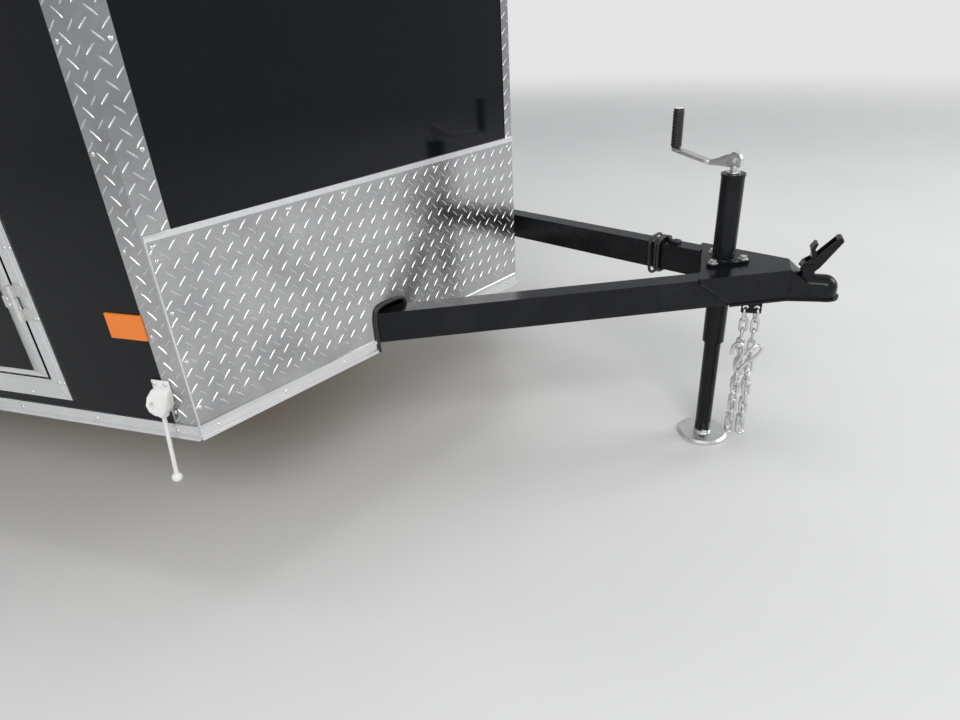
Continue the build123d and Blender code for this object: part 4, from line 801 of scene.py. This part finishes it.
def bent_rod(name, points, radius, roundness=2):
    """A round rod along a smooth line, as a mesh."""
    hold(round_curve(name, points, radius, roundness, 4))
    bpy.ops.object.convert(target="MESH")
    return smooth(tidy_mesh(named(name)), 60)


def ring(name, middle, radius, wire, sides):
    """A round ring that lies flat, such as a weld bead."""
    clear_selection()
    bpy.ops.mesh.primitive_torus_add(
        major_radius=radius, minor_radius=wire, major_segments=sides, minor_segments=8, location=middle
    )
    return smooth(settle(named(name)), 60)


def lathed(name, profile, steps=96):
    """A closed profile of (radius, y) points turned about the Y axis."""
    clear_selection()
    bpy.ops.mesh.primitive_circle_add(vertices=len(profile), fill_type="NOTHING")
    piece = named(name)
    for vertex, (radius, y) in zip(piece.data.vertices, profile):
        vertex.co = (radius, y, 0)
    open_all(piece)
    bpy.ops.mesh.spin(steps=steps, angle=2 * pi, center=(0, 0, 0), axis=ACROSS)
    close_edit()
    return tidy_mesh(piece)


def hex_bolt(name, radius, height, washer=True):
    """A hexagon head on its washer, standing on the XY plane."""
    head = bevelled(new_round(name, (0, 0, height / 2 + 0.002), radius, height, 6), radius * 0.12)
    if not washer:
        return head
    disc = soft_round("washer", (0, 0, 0.001), radius * 1.25, 0.002, 0.0004, 24, segments=1)
    return smooth(joined([head, disc], name), 30)


def ride(piece, finish, body="trailer", instead_of=()):
    """Dresses a finished piece, puts it on its body and lets it stand for CAD nodes."""
    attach(dress(piece, finish), body)
    if instead_of:
        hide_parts(*instead_of)
    return piece


# Rubber bead round each arch over a tongue tube
def make_seals():
    start, end = cutout_span()
    inset = 0.002
    left, right = start + inset, end - inset
    top = FRAME_TOP + ARCH_RISE - inset
    low = SKIN_BOTTOM + 0.001
    y = -0.003
    route = [
        (left, low), (left, low + 0.04), (left, top - 0.034), (left + 0.006, top - 0.005),
        (left + 0.034, top), (left + 0.06, top), (right - 0.05, top), (right - 0.03, top),
        (right - 0.005, top - 0.005), (right, top - 0.03), (right, low + 0.04), (right, low),
    ]
    bead = bent_rod("seal", [(along, y, z) for along, z in route], 0.0062)
    beads = spread(bead, "seal_copy", [nose_place(side) for side in (-1, 1)])
    ride(joined(beads, "arch_seals"), "black_rubber", instead_of=["tube_seals"])


# Coupler: welds, the jack's flange bolts and the clamp's nuts
COUPLER_OUTER_APEX = TONGUE_APEX + 0.0053 / sin(TONGUE_TURN)
COUPLER_FOOT = SOCKET_CENTRE - 0.020
WELD = 0.0034
FLANGE_CIRCLE = 0.050
CLAMP_HALF = 0.0365
CLAMP_Z = 0.490


def cheek_y(x, out):
    """The right cheek's outer face, moved out."""
    return -(COUPLER_OUTER_APEX - x) * tan(TONGUE_TURN) - out


def make_coupler_details():
    pieces = []
    start_z = COUPLER_TOP - 0.014
    for side in (-1, 1):
        points = []
        for share in (0.0, 0.2, 0.4, 0.6, 0.8, 1.0):
            x = COUPLER_REAR + 0.002 + 0.072 * share
            z = start_z - (start_z - COUPLER_FOOT - 0.004) * share
            points.append((x, side * cheek_y(x, -0.0025), z))
        pieces.append(bent_rod("cheek_weld", points, WELD))
        corner_y = side * cheek_y(COUPLER_REAR, -0.004)
        rear = [(COUPLER_REAR - 0.001, corner_y * share, COUPLER_TOP - 0.004) for share in (0.99, 0.8, 0.62)]
        pieces.append(bent_rod("rear_weld", rear, WELD))
    ride(joined(pieces, "coupler_welds"), "black_frame_paint")

    bolts = []
    for turn in (0, 120, 240):
        way = radians(turn)
        spot = at(JACK_X + FLANGE_CIRCLE * cos(way), FLANGE_CIRCLE * sin(way), COUPLER_TOP + 0.008)
        bolt = hex_bolt("flange_bolt", 0.0098, 0.0075)
        move(bolt, spot @ turned(way, "Z"))
        bolts.append(bolt)
    ride(joined(bolts, "flange_bolts"), "zinc")
    weld = ring("jack_weld", (JACK_X, 0, COUPLER_TOP + 0.0085), 0.0292, 0.0032, 40)
    ride(weld, "black_frame_paint")

    # the socket's clamp has a nut on each cheek
    nuts = []
    for side in (-1, 1):
        nut = hex_bolt("clamp_nut", 0.0085, 0.007)
        way = turned(radians(-90 * side), "X")
        move(nut, at(COUPLER_BEND + 0.004, side * CLAMP_HALF, CLAMP_Z) @ way)
        nuts.append(nut)
    ride(joined(nuts, "clamp_nuts"), "black_frame_paint")


# Jack crank: a round head on edge, an arm that twists flat, and its ribbed grip
CRANK_HEAD_Z = JACK_TOP + 0.031
CRANK_REACH = 0.182
CRANK_TURN = radians(143.7)
GRIP_LOW = CRANK_HEAD_Z + 0.010
GRIP_LENGTH = 0.098
RIBS = 12
RIB_PITCH = 0.0074
ARM_HALF = 0.0115
ARM_RISE = 0.166
WEB = 0.006
BAR = 0.009


def make_crank():
    place = at(JACK_X, 0, 0) @ turned(CRANK_TURN, "Z")
    head = soft_round("crank_head", (0, 0, CRANK_HEAD_Z), 0.0200, 0.0096, 0.0016, 40, ACROSS, segments=3)
    collar = soft_round("crank_collar", (0, 0, JACK_TOP + 0.0015), 0.017, 0.003, 0.0008)
    neck = soft_round("crank_neck", (0, 0, JACK_TOP + 0.009), 0.0098, 0.018, 0.001, 28)
    pin = soft_round("crank_pin", (0, 0, CRANK_HEAD_Z), 0.0042, 0.026, 0.0008, 20, ACROSS)
    nuts = [
        soft_round("crank_nut", (0, y, CRANK_HEAD_Z), 0.0082, 0.006, 0.0007, 6, ACROSS)
        for y in (0.0085, -0.0085)
    ]
    web = [
        (0.0, -0.0175), (0.03, -0.0185), (0.075, -0.0205), (0.098, -0.0165), (0.110, -0.0125),
        (0.110, -0.0085), (0.092, -0.0095), (0.075, -0.0092), (0.05, -0.001), (0.025, 0.0105),
        (0.0, 0.0175),
    ]
    standing = plate_of("crank_web", web, WEB)
    move(standing, at(0, WEB / 2, CRANK_HEAD_Z) @ FACE_RIGHT)
    bevelled(standing, 0.0011)
    flat = [(0.072, -0.006), (0.080, -0.0105), (0.092, -ARM_HALF), (CRANK_REACH, -ARM_HALF)]
    for step in range(1, 8):
        angle = radians(-90 + 180 * step / 8)
        flat.append((CRANK_REACH + ARM_HALF * cos(angle), ARM_HALF * sin(angle)))
    flat += [(CRANK_REACH, ARM_HALF), (0.092, ARM_HALF), (0.080, 0.0105), (0.072, 0.006)]
    bar = plate_of("crank_bar", flat, BAR)
    for vertex in bar.data.vertices:
        vertex.co.z += CRANK_HEAD_Z - 0.0175 + (vertex.co.x - 0.0764) * ARM_RISE
    bevelled(bar, 0.0009)
    rivet = dome("grip_rivet", 0.006, 0.003)
    move(rivet, at(CRANK_REACH, 0, CRANK_HEAD_Z + 0.002) @ turned(pi, "X"))
    crank = joined([head, collar, neck, pin, *nuts, standing, bar, rivet], "crank")
    move(crank, place)
    ride(smooth(crank, 40), "zinc", instead_of=["jack_crank"])

    core = soft_round("grip_core", (0, 0, GRIP_LENGTH / 2), 0.0128, GRIP_LENGTH, 0.001)
    rib = soft_round("grip_rib", (0, 0, 0.0065), 0.0145, 0.0046, 0.0014, segments=3)
    repeated(rib, (0, 0, RIB_PITCH), RIBS)
    grip = joined([core, rib], "crank_grip")
    move(grip, place @ at(CRANK_REACH, 0, GRIP_LOW))
    ride(smooth(grip, 50), "black_rubber", instead_of=["jack_grip"])
    lid = soft_round("grip_lid", (0, 0, GRIP_LENGTH - 0.0015), 0.0122, 0.005, 0.0016, segments=3)
    move(lid, place @ at(CRANK_REACH, 0, GRIP_LOW))
    ride(smooth(lid, 50), "white_plastic")


# Safety chains: round-wire links, doubled back up to an open hook each
CHAIN_X = COUPLER_BEND - 0.082
CHAIN_Y = -0.058
CHAIN_SPREAD = 0.028
CHAIN_TOP = 0.444
CHAIN_WIRE = 0.0072
CHAIN_DOWN = 12
CHAIN_UP = 6
LINK_LENGTH = 0.045
LINK_WIDTH = 0.024
LINK_PITCH = 0.02934
HOOK_RISE = 0.0365
HOOK_WIRE = 0.0043
LOW_LINK_LENGTH = 0.060
LOW_LINK_WIDTH = 0.025


def chain_link(name, length, width):
    """A long round-wire link that stands in the XZ plane."""
    clear_selection()
    bpy.ops.mesh.primitive_torus_add(
        major_radius=(width - CHAIN_WIRE) / 2, minor_radius=CHAIN_WIRE / 2,
        major_segments=16, minor_segments=10, rotation=(0, 0, pi / 16),
    )
    link = settle(named(name))
    move(link, FACE_RIGHT)
    stretch = (length - width) / 2
    for vertex in link.data.vertices:
        vertex.co.z += stretch if vertex.co.z > 0 else -stretch
    return smooth(link, 60)


def make_chains():
    link = chain_link("link", LINK_LENGTH, LINK_WIDTH)
    last = CHAIN_TOP - LINK_LENGTH / 2 - (CHAIN_DOWN - 1) * LINK_PITCH
    runs = (("down", CHAIN_DOWN, CHAIN_Y, 0), ("up", CHAIN_UP, CHAIN_Y - CHAIN_SPREAD, 1))
    hook_path = [
        (-19, 10), (-20, 16), (-18, 30), (-10, 44), (3, 48), (12, 40), (12, 26), (6, 8), (-3, -10),
        (-10, -26), (-10, -40), (-2, -48), (7, -43), (9, -31), (4, -20),
    ]
    pieces = []
    for side in (-1, 1):
        x = CHAIN_X + side * CHAIN_SPREAD / 2
        for run, count, y, first in runs:
            for place in range(count):
                row = count - 1 - place if run == "down" else place
                quarter = (place + first) % 2 == 0
                sway = radians(14 * sin(place * 2.1 + side) + side * 9)
                spin = turned(sway + (radians(90) if quarter else 0), "Z")
                nudge = at(0.0008 * sin(place * 1.7), 0.0008 * cos(place * 2.3), 0)
                pieces.append(copy_of(link, "chain_link", at(x, y, last + row * LINK_PITCH) @ nudge @ spin))
        low = chain_link("low_link", LOW_LINK_LENGTH, LOW_LINK_WIDTH)
        low_z = last - LINK_LENGTH / 2 + 0.0142
        move(low, at(x, CHAIN_Y - CHAIN_SPREAD / 2, low_z - 0.0125) @ FACE_RIGHT)
        pieces.append(low)
        hook = bent_rod("hook", [(u / 1000, 0, v / 1000) for u, v in hook_path], HOOK_WIRE, roundness=3)
        hook_z = last + (CHAIN_UP - 1) * LINK_PITCH + LINK_LENGTH / 2 + HOOK_RISE
        lean = turned(radians(8 + 14 * side), "Y") @ turned(radians(20 * side), "Z")
        move(hook, at(x, CHAIN_Y - CHAIN_SPREAD, hook_z) @ lean)
        pieces.append(hook)
    bpy.data.objects.remove(link)
    ride(joined(pieces, "safety_chain_links"), "zinc", instead_of=["safety_chains"])

    half = CHAIN_SPREAD / 2 + 0.011
    hole_low = CHAIN_TOP - 0.008
    low = (CHAIN_X - half, CHAIN_Y - 0.005, hole_low - 0.008)
    eye = new_box("chain_eye", low, (CHAIN_X + half, CHAIN_Y + 0.005, FRAME_BOTTOM))
    for side in (-1, 1):
        spot = (CHAIN_X + side * CHAIN_SPREAD / 2, CHAIN_Y, hole_low + 0.007)
        hole = new_round("eye_hole", spot, 0.0072, 0.03, 24, ACROSS)
        bored(eye, hole)
    ride(smooth(bevelled(eye, 0.0022, 3), 40), "black_frame_paint")


# Jack foot: the bent pin through the leg, and a thin dark plate on the disc as painted shade where its slot
# is
PIN_Z = 0.0242


def make_foot_details():
    loop = [
        (0.001, 0.030, 0.0), (0.0, 0.0, 0.0), (0.0, -0.024, 0.0), (0.002, -0.0285, 0.0),
        (0.012, -0.0295, 0.0), (0.019, -0.031, -0.001), (0.014, -0.037, -0.003), (0.0, -0.040, -0.0045),
        (-0.014, -0.037, -0.004), (-0.018, -0.031, -0.003), (-0.008, -0.0285, -0.003),
    ]
    pin = bent_rod("leg_pin", [(JACK_X + x, y, PIN_Z + z) for x, y, z in loop], 0.0021)
    ride(pin, "zinc", "jack_leg")
    # the slot is not cut; a dark plate on the disc paints the shade inside it
    low, high = (JACK_X - 0.007, -0.0485, 0.0118), (JACK_X + 0.007, -0.0425, 0.0131)
    slot = soft_box("foot_slot_painted_shade", low, high, 0.0003, 1)
    ride(slot, "black_rubber", "jack_leg")


make_seals()
make_coupler_details()
make_crank()
make_chains()
make_foot_details()


# Tyres: a turned casing with raised rings on its sides and five rows of tread blocks
TREAD_ROWS = (
    (-0.0700, -0.0475, 60), (-0.0405, -0.0185, 72), (-0.0115, 0.0115, 72), (0.0185, 0.0405, 72),
    (0.0475, 0.0700, 60),
)
TREAD_RADIUS = 0.339
BLOCK_GAP = 0.0024
BLOCK_BASE = 0.3335
BLOCK_HEIGHT = 0.009
STUD_RADIUS = 0.05715


def make_tyres():
    side = [
        (190.6, 61.0), (196, 66.5), (204, 71), (210, 75.5), (216, 84), (220, 87.5), (224, 88.2), (226, 87.2),
        (240, 95), (246, 97), (247.5, 98.4), (251, 99.2), (253, 98.6), (264, 101.4), (275, 102), (288, 101.2),
        (299, 98.6), (301, 99.2), (304, 98.2), (305.5, 96.6), (316, 92), (326, 86), (333, 79), (335.5, 72),
    ]
    profile = [(radius / 1000, half / 1000) for radius, half in side]
    profile += [(radius, -half) for radius, half in reversed(profile)]
    pieces = [smooth(lathed("casing", profile), 32)]
    for low, high, count in TREAD_ROWS:
        reach = pi * TREAD_RADIUS / count - BLOCK_GAP / 2
        outer = abs(low + high) > 0.1
        lean = 0.0 if outer else 0.004
        outline = [(-reach - lean, low), (reach - lean, low), (reach + lean, high), (-reach + lean, high)]
        block = plate_of("tread_block", outline, BLOCK_HEIGHT)
        for vertex in block.data.vertices:
            drop = 0.003 if outer and abs(vertex.co.y) > 0.06 else 0.0
            vertex.co.z += BLOCK_BASE - drop
        bevelled(block, 0.0009, 1)
        turns = [2 * pi * (place + low * 20) / count for place in range(count)]
        pieces += spread(block, "tread_block", [turned(turn, "Y") for turn in turns])
    tyre = joined(pieces, "tyre_tread_right")
    other = copy_of(tyre, "tyre_tread_left", at(AXLE_X, WHEEL_Y, TYRE_RADIUS))
    move(tyre, at(AXLE_X, -WHEEL_Y, TYRE_RADIUS) @ turned(pi, "Z"))
    ride(tyre, "tyre_rubber", "wheel_right", ["tyre_right"])
    ride(other, "tyre_rubber", "wheel_left", ["tyre_left"])


# Wheel nuts, cap plug and valve on each wheel
def make_wheel_details():
    nuts = []
    for place in range(5):
        angle = 2 * pi / 5 * (place + 0.25)
        seat = soft_round("nut_seat", (0, 0, 0.0015), 0.0118, 0.003, 0.001, 24, segments=1)
        hexagon = soft_round("nut", (0, 0, 0.0075), 0.0112, 0.013, 0.0012, 6)
        crown = dome("crown", 0.0082, 0.0045, 20)
        move(crown, at(0, 0, 0.0138))
        nut = joined([seat, hexagon, crown], "wheel_nut")
        spot = at(STUD_RADIUS * cos(angle), 0.006, STUD_RADIUS * sin(angle)) @ FACE_LEFT
        move(nut, spot)
        nuts.append(nut)
    nuts = smooth(joined(nuts, "wheel_nuts_left"), 35)
    plug = soft_round("cap_plug", (0, 0.0448, 0), 0.0125, 0.0026, 0.001, 32, ACROSS, segments=3)
    stem = soft_round("stem", (0.151, 0.036, 0), 0.0048, 0.030, 0.001, 20, ACROSS)
    tip = soft_round("tip", (0.151, 0.054, 0), 0.0038, 0.009, 0.0008, 16, ACROSS)
    valve = smooth(joined([plug, stem, tip], "valve_left"), 40)
    for piece, finish in ((nuts, "zinc"), (valve, "black_rubber")):
        twin = copy_of(piece, piece.name.replace("left", "right"), MIRROR)
        for part, way, word in ((piece, 1, "left"), (twin, -1, "right")):
            move(part, at(AXLE_X, way * WHEEL_Y, TYRE_RADIUS))
            ride(part, finish, "wheel_" + word)


# Stone guard's folded edge at the corner, and its cap carried on to the corner
def make_guard_edges():
    low = SKIN_BOTTOM + BOTTOM_TRIM
    fold = soft_box("fold", (0.0005, -0.0036, low), (0.0042, -0.0012, GUARD_TOP), 0.0008)
    cap_end = (CORNER_STRIP + 0.001, -0.0004, GUARD_TOP + TOP_TRIM)
    cap = soft_box("cap", (0.0015, -2 * PLATE, GUARD_TOP), cap_end, 0.0008)
    edge = joined([fold, cap], "guard_edge")
    edges = spread(edge, "guard_edge_copy", [nose_place(side) for side in (-1, 1)])
    ride(smooth(joined(edges, "guard_edges"), 30), "bright_trim")


# Door holdback: a moulded bracket held by two screws, with a leaning rod and its ball
def make_holdback():
    face = -HALF_WIDTH - PLATE
    x = SHIFT_X - 0.058
    z = 0.540
    outline = [
        (-0.016, 0.019), (0.0225, 0.019), (0.0235, 0.008), (0.022, -0.014), (0.012, -0.030),
        (-0.006, -0.030), (-0.0185, -0.022), (-0.0225, -0.008), (-0.0215, 0.006),
    ]
    house = plate_of("house", outline, 0.031)
    move(house, at(x, face, z) @ FACE_RIGHT)
    for vertex in house.data.vertices:
        if vertex.co.y < face - 0.02 and vertex.co.z > z:
            vertex.co.y = face - (0.012 if vertex.co.z > z + 0.015 else 0.024)
    bevelled(house, 0.0035, 4)
    flange = soft_box("flange", (x - 0.0175, face - 0.0045, z), (x + 0.0235, face, z + 0.036), 0.0018, 3)
    hole = new_round("hole", (x - 0.010, face - 0.028, z - 0.008), 0.0062, 0.02, 24, ACROSS)
    bored(house, hole)
    collar = soft_round("collar", (x + 0.003, face - 0.017, z - 0.031), 0.0098, 0.008, 0.0015, 24, segments=3)
    foot = (x - 0.019, -0.9315, 0.350)
    route = [(x + 0.003, -0.9335, z - 0.024), (x - 0.008, -0.9325, 0.435), foot]
    rod = bent_rod("rod", route, 0.0045, roundness=4)
    clear_selection()
    bpy.ops.mesh.primitive_uv_sphere_add(segments=28, ring_count=16, radius=0.0108, location=foot)
    ball = smooth(settle(named("ball")), 60)
    holdback = smooth(joined([house, flange, collar, rod, ball], "holdback"), 40)
    ride(holdback, "white_plastic", instead_of=["door_holdback"])
    heads = [at(x + across, face - 0.0045, z + 0.0285) for across in (-0.011, 0.015)]
    screws("holdback_screws", "zinc", "trailer", heads, 0.0048, 0.0028)


# Side door: moulding round the leaf, seal in the gap, ridges on the frame, screws and keyhole
def frame_of(name, span_x, span_z, widths, low_y, high_y):
    """Four mitred mouldings round an upright opening; widths are for the sides, top and bottom."""
    side, top, bottom = widths
    left, right = span_x
    low, high = span_z
    in_left, in_right, in_low, in_high = left + side, right - side, low + bottom, high - top
    pieces = []
    corners = (
        [(left, low), (in_left, in_low), (in_left, in_high), (left, high)],
        [(right, low), (right, high), (in_right, in_high), (in_right, in_low)],
        [(left, low), (right, low), (in_right, in_low), (in_left, in_low)],
        [(left, high), (in_left, in_high), (in_right, in_high), (right, high)],
    )
    for outline in corners:
        bar = plate_of("bar", outline, high_y - low_y)
        move(bar, at(0, high_y, 0) @ FACE_RIGHT)
        pieces.append(bevelled(bar, min(0.0012, (high_y - low_y) * 0.4), 2))
    return smooth(joined(pieces, name), 30)


DOOR_FACE = -0.9185
SIDE_LEAF_LOW = 0.548
SIDE_LEAF_HEIGHT = 1.690
SIDE_HINGE_X = 0.8545
KEYHOLE_X = 0.181


def side_leaf_z(share):
    return SIDE_LEAF_LOW + SIDE_LEAF_HEIGHT * share


def make_side_door_details():
    moulding = frame_of(
        "side_door_moulding", (0.0712, 0.8738), (0.5482, 2.2378), (0.032, 0.032, 0.012),
        DOOR_FACE - 0.0014, DOOR_FACE + 0.0004,
    )
    ride(moulding, "bright_trim", "side_door")
    seal = frame_of(
        "side_door_seal", (0.0662, 0.8788), (0.5432, 2.2428), (0.0044, 0.0044, 0.0044),
        DOOR_FACE + 0.003, DOOR_FACE + 0.016,
    )
    ride(seal, "black_rubber")
    ridges = []
    for left, right, low, high in (
        (0.040, 0.905, 0.5150, 0.5385), (0.9005, 0.9035, 0.545, 2.240), (0.0415, 0.0445, 0.545, 2.240)
    ):
        corner = (left, DOOR_FACE - 0.001, low)
        ridges.append(soft_box("ridge", corner, (right, DOOR_FACE + 0.0005, high), 0.0004, 1))
    ride(smooth(joined(ridges, "door_frame_ridges"), 30), "bright_trim")
    places = []
    for row in range(12):
        for x in (0.9095, 0.8965, 0.037):
            places.append(at(x, DOOR_FACE, 0.5368 + row * 0.1452))
    for place in range(5):
        for z in (0.505, 2.262):
            places.append(at(0.13 + place * 0.17, DOOR_FACE, z))
    screws("door_frame_screws", "zinc", "trailer", places, 0.0042, 0.0026)
    places = []
    for share in (0.1, 0.5, 0.9):
        for up in (-0.006, 0.006):
            places.append(at(SIDE_HINGE_X, DOOR_FACE - 0.004, side_leaf_z(share) + up))
    lock_z = side_leaf_z(0.45)
    for x in (0.101, 0.211):
        for up in (-0.037, 0.037):
            places.append(at(x, DOOR_FACE - 0.005, lock_z + up))
    screws("side_door_screws", "zinc", "side_door", places, 0.0038, 0.0022)
    middle = (KEYHOLE_X, DOOR_FACE - 0.0055, lock_z)
    keyhole = soft_round("keyhole", middle, 0.009, 0.004, 0.0008, 28, ACROSS)
    ride(smooth(keyhole, 40), "black_rubber", "side_door")


# Rear doors: mouldings, the bolts of the strap hinges and lock bars, grips, and the seal between them
REAR_FACE = -2.438
REAR_LEAF_LOW = 0.5642
REAR_LEAF_HEIGHT = 1.724
LOCK_BAR_Y = 0.120


def rear_leaf_z(share):
    return REAR_LEAF_LOW + REAR_LEAF_HEIGHT * share


def make_rear_door_details():
    for side, word in ((1, "left"), (-1, "right")):
        door = "rear_door_" + word
        moulding = frame_of(
            "rear_moulding", (0.0028, 0.8492), (0.5645, 2.2879), (0.024, 0.024, 0.024), -0.0016, 0.0004
        )
        move(moulding, at(REAR_FACE, 0, 0) @ turned(-pi / 2, "Z") @ Matrix.Scale(-1, 4, (1, 0, 0)))
        moulding.data.flip_normals()
        if side < 0:
            mirror(moulding)
        moulding.name = "rear_door_moulding_" + word
        ride(moulding, "bright_trim", door)
        bolts = []
        for share in (0.08, 0.5, 0.92):
            for y in (0.735, 0.834):
                bolt = hex_bolt("strap_bolt", 0.0062, 0.0036)
                move(bolt, at(REAR_FACE - 0.0096, side * y, rear_leaf_z(share)) @ FACE_REAR)
                bolts.append(bolt)
        for share in (0.06, 0.3, 0.7, 0.94):
            for y in (LOCK_BAR_Y - 0.0144, LOCK_BAR_Y + 0.0144):
                bolt = hex_bolt("collar_bolt", 0.0024, 0.002, washer=False)
                move(bolt, at(REAR_FACE - 0.0420, side * y, rear_leaf_z(share)) @ FACE_REAR)
                bolts.append(bolt)
        ride(smooth(joined(bolts, "strap_bolts_" + word), 30), "zinc", door)
        grip_z = rear_leaf_z(0.42)
        low = (REAR_FACE - 0.0405, 0.350, grip_z - 0.0155)
        pull = soft_box("pull", low, (REAR_FACE - 0.0275, 0.4195, grip_z + 0.0155), 0.003, 3)
        if side < 0:
            mirror(pull)
        pull.name = "rear_grip_" + word
        ride(smooth(pull, 40), "black_rubber", door)
    low = (REAR_FACE + 0.006, -0.0021, 0.566)
    strip = soft_box("meeting_seal", low, (REAR_FACE + 0.026, 0.0021, 2.286), 0.0008)
    ride(smooth(strip, 30), "black_rubber", "rear_door_left")


# Plywood liners on the inner faces of the walls; the right one leaves the side door free
INNER_FACE = 0.8762
LINER = 0.003
LINER_LOW, LINER_HIGH = 0.5596, 2.3870
LINER_SPANS = {
    -1: ((-2.385, -1.1895), (-1.1875, 0.0275), (0.9175, 1.185)),
    1: ((-2.385, -1.1895), (-1.1875, 0.008), (0.010, 1.185)),
}


def make_liners():
    sheets = []
    for side, spans in LINER_SPANS.items():
        right, left = sorted((side * (INNER_FACE - LINER), side * INNER_FACE))
        for start, end in spans:
            sheets.append(soft_box("liner", (start, right, LINER_LOW), (end, left, LINER_HIGH), 0.0008, 1))
    ride(smooth(joined(sheets, "wall_liners"), 30), "floor_board")


# Lamps: dark bases round the lenses; roof trim screws
def make_lamp_bases():
    bases = []
    for side in (-1, 1):
        for x, z in ((1.130, 2.3282), (-2.328, 0.690)):
            low = (x - 0.036, -0.9198, z - 0.021)
            base = soft_box("base", low, (x + 0.036, -0.9146, z + 0.021), 0.002, 3)
            if side > 0:
                mirror(base)
            bases.append(base)
        y = side * (HALF_WIDTH - 0.130)
        bases.append(soft_box("base", (-2.4435, y - 0.088, 0.4735), (-2.4381, y + 0.088, 0.5308), 0.003, 3))
    ride(smooth(joined(bases, "lamp_bases"), 30), "black_rubber")
    alongs = (0.10, 0.26, 0.42, 0.58, 0.74, 0.90)
    places = rail_places(0.10, 0.2045, 0.003, WALL_TOP - 0.011, alongs)
    screws("roof_trim_screws", "zinc", "trailer", places, 0.0042, 0.0024)


make_tyres()
make_wheel_details()
make_guard_edges()
make_holdback()
make_side_door_details()
make_rear_door_details()
make_liners()
make_lamp_bases()


# Camera at the photograph's place
CAMERA_PLACE = (2.11707, -1.78204, 1.18181)
CAMERA_TURNS = (109.13, -28.18, -3.52)
FOCAL_PIXELS = 666.54
PICTURE_PIXELS = 960
SENSOR = 36.0


def place_camera():
    yaw, pitch, roll = (radians(turn) for turn in CAMERA_TURNS)
    ahead = Vector((cos(pitch) * cos(yaw), cos(pitch) * sin(yaw), sin(pitch)))
    right = Vector((sin(yaw), -cos(yaw), 0))
    up = right.cross(ahead)
    tilted_right = cos(roll) * right + sin(roll) * up
    tilted_up = -sin(roll) * right + cos(roll) * up
    data = bpy.data.cameras.new("camera")
    data.sensor_width = SENSOR
    data.lens = FOCAL_PIXELS / PICTURE_PIXELS * SENSOR
    data.clip_end = 60.0
    camera = new_object("camera", data)
    spin = Matrix((tilted_right, tilted_up, -ahead)).transposed()
    camera.matrix_world = at(*CAMERA_PLACE) @ spin.to_4x4()
    bpy.context.scene.camera = camera


place_camera()


# Floor, backdrop and soft light
def soft_lamp(name, place, aim, width, height, power):
    data = bpy.data.lights.new(name, "AREA")
    data.shape = "RECTANGLE"
    data.size = width
    data.size_y = height
    data.energy = power
    lamp = new_object(name, data)
    way = Vector(aim) - Vector(place)
    lamp.matrix_world = at(*place) @ way.to_track_quat("-Z", "Y").to_matrix().to_4x4()


FADE_START, FADE_END = 4.5, 11.0


def lay_floor():
    clear_selection()
    bpy.ops.mesh.primitive_plane_add(size=40)
    floor = named("floor_sheet")
    ground = Finish("pale_floor")
    ground.set(
        Base_Color=ground.mix(ground.noise(1.5, 4.0), (0.60, 0.60, 0.59), (0.66, 0.66, 0.65)),
        Roughness=0.85,
    )
    away = ground.node("VectorMath", {"operation": "LENGTH"}, output=1, Vector=ground.place)
    solid = ground.node(
        "MapRange", {"interpolation_type": "SMOOTHSTEP"},
        Value=away, From_Min=FADE_START, From_Max=FADE_END, To_Min=1.0, To_Max=0.0,
    )
    ground.set(Alpha=solid)
    floor.data.materials.append(ground.material)


LIT_BY = (0.50, 0.51, 0.53, 1)
SEEN_AS = (0.78, 0.78, 0.78, 1)


def light_world():
    world = bpy.data.worlds.new("studio")
    bpy.context.scene.world = world
    world.use_nodes = True
    tree = world.node_tree
    background = tree.nodes["Background"]
    path = tree.nodes.new("ShaderNodeLightPath")
    mixed = tree.nodes.new("ShaderNodeMix")
    mixed.data_type = "RGBA"
    mixed.inputs[6].default_value = LIT_BY
    mixed.inputs[7].default_value = SEEN_AS
    tree.links.new(path.outputs["Is Camera Ray"], mixed.inputs[0])
    tree.links.new(mixed.outputs[2], background.inputs["Color"])


lay_floor()
light_world()
soft_lamp("key_lamp", (3.5, -5.5, 5.0), (1.6, -0.2, 0.5), 3.5, 2.5, 260)
soft_lamp("fill_lamp", (7.0, 2.5, 3.5), (1.5, 0.0, 0.6), 3.0, 3.0, 150)
soft_lamp("top_lamp", (0.0, 0.0, 6.5), (0.0, 0.0, 0.0), 5.0, 3.0, 170)
bpy.context.scene.view_settings.view_transform = "Standard"
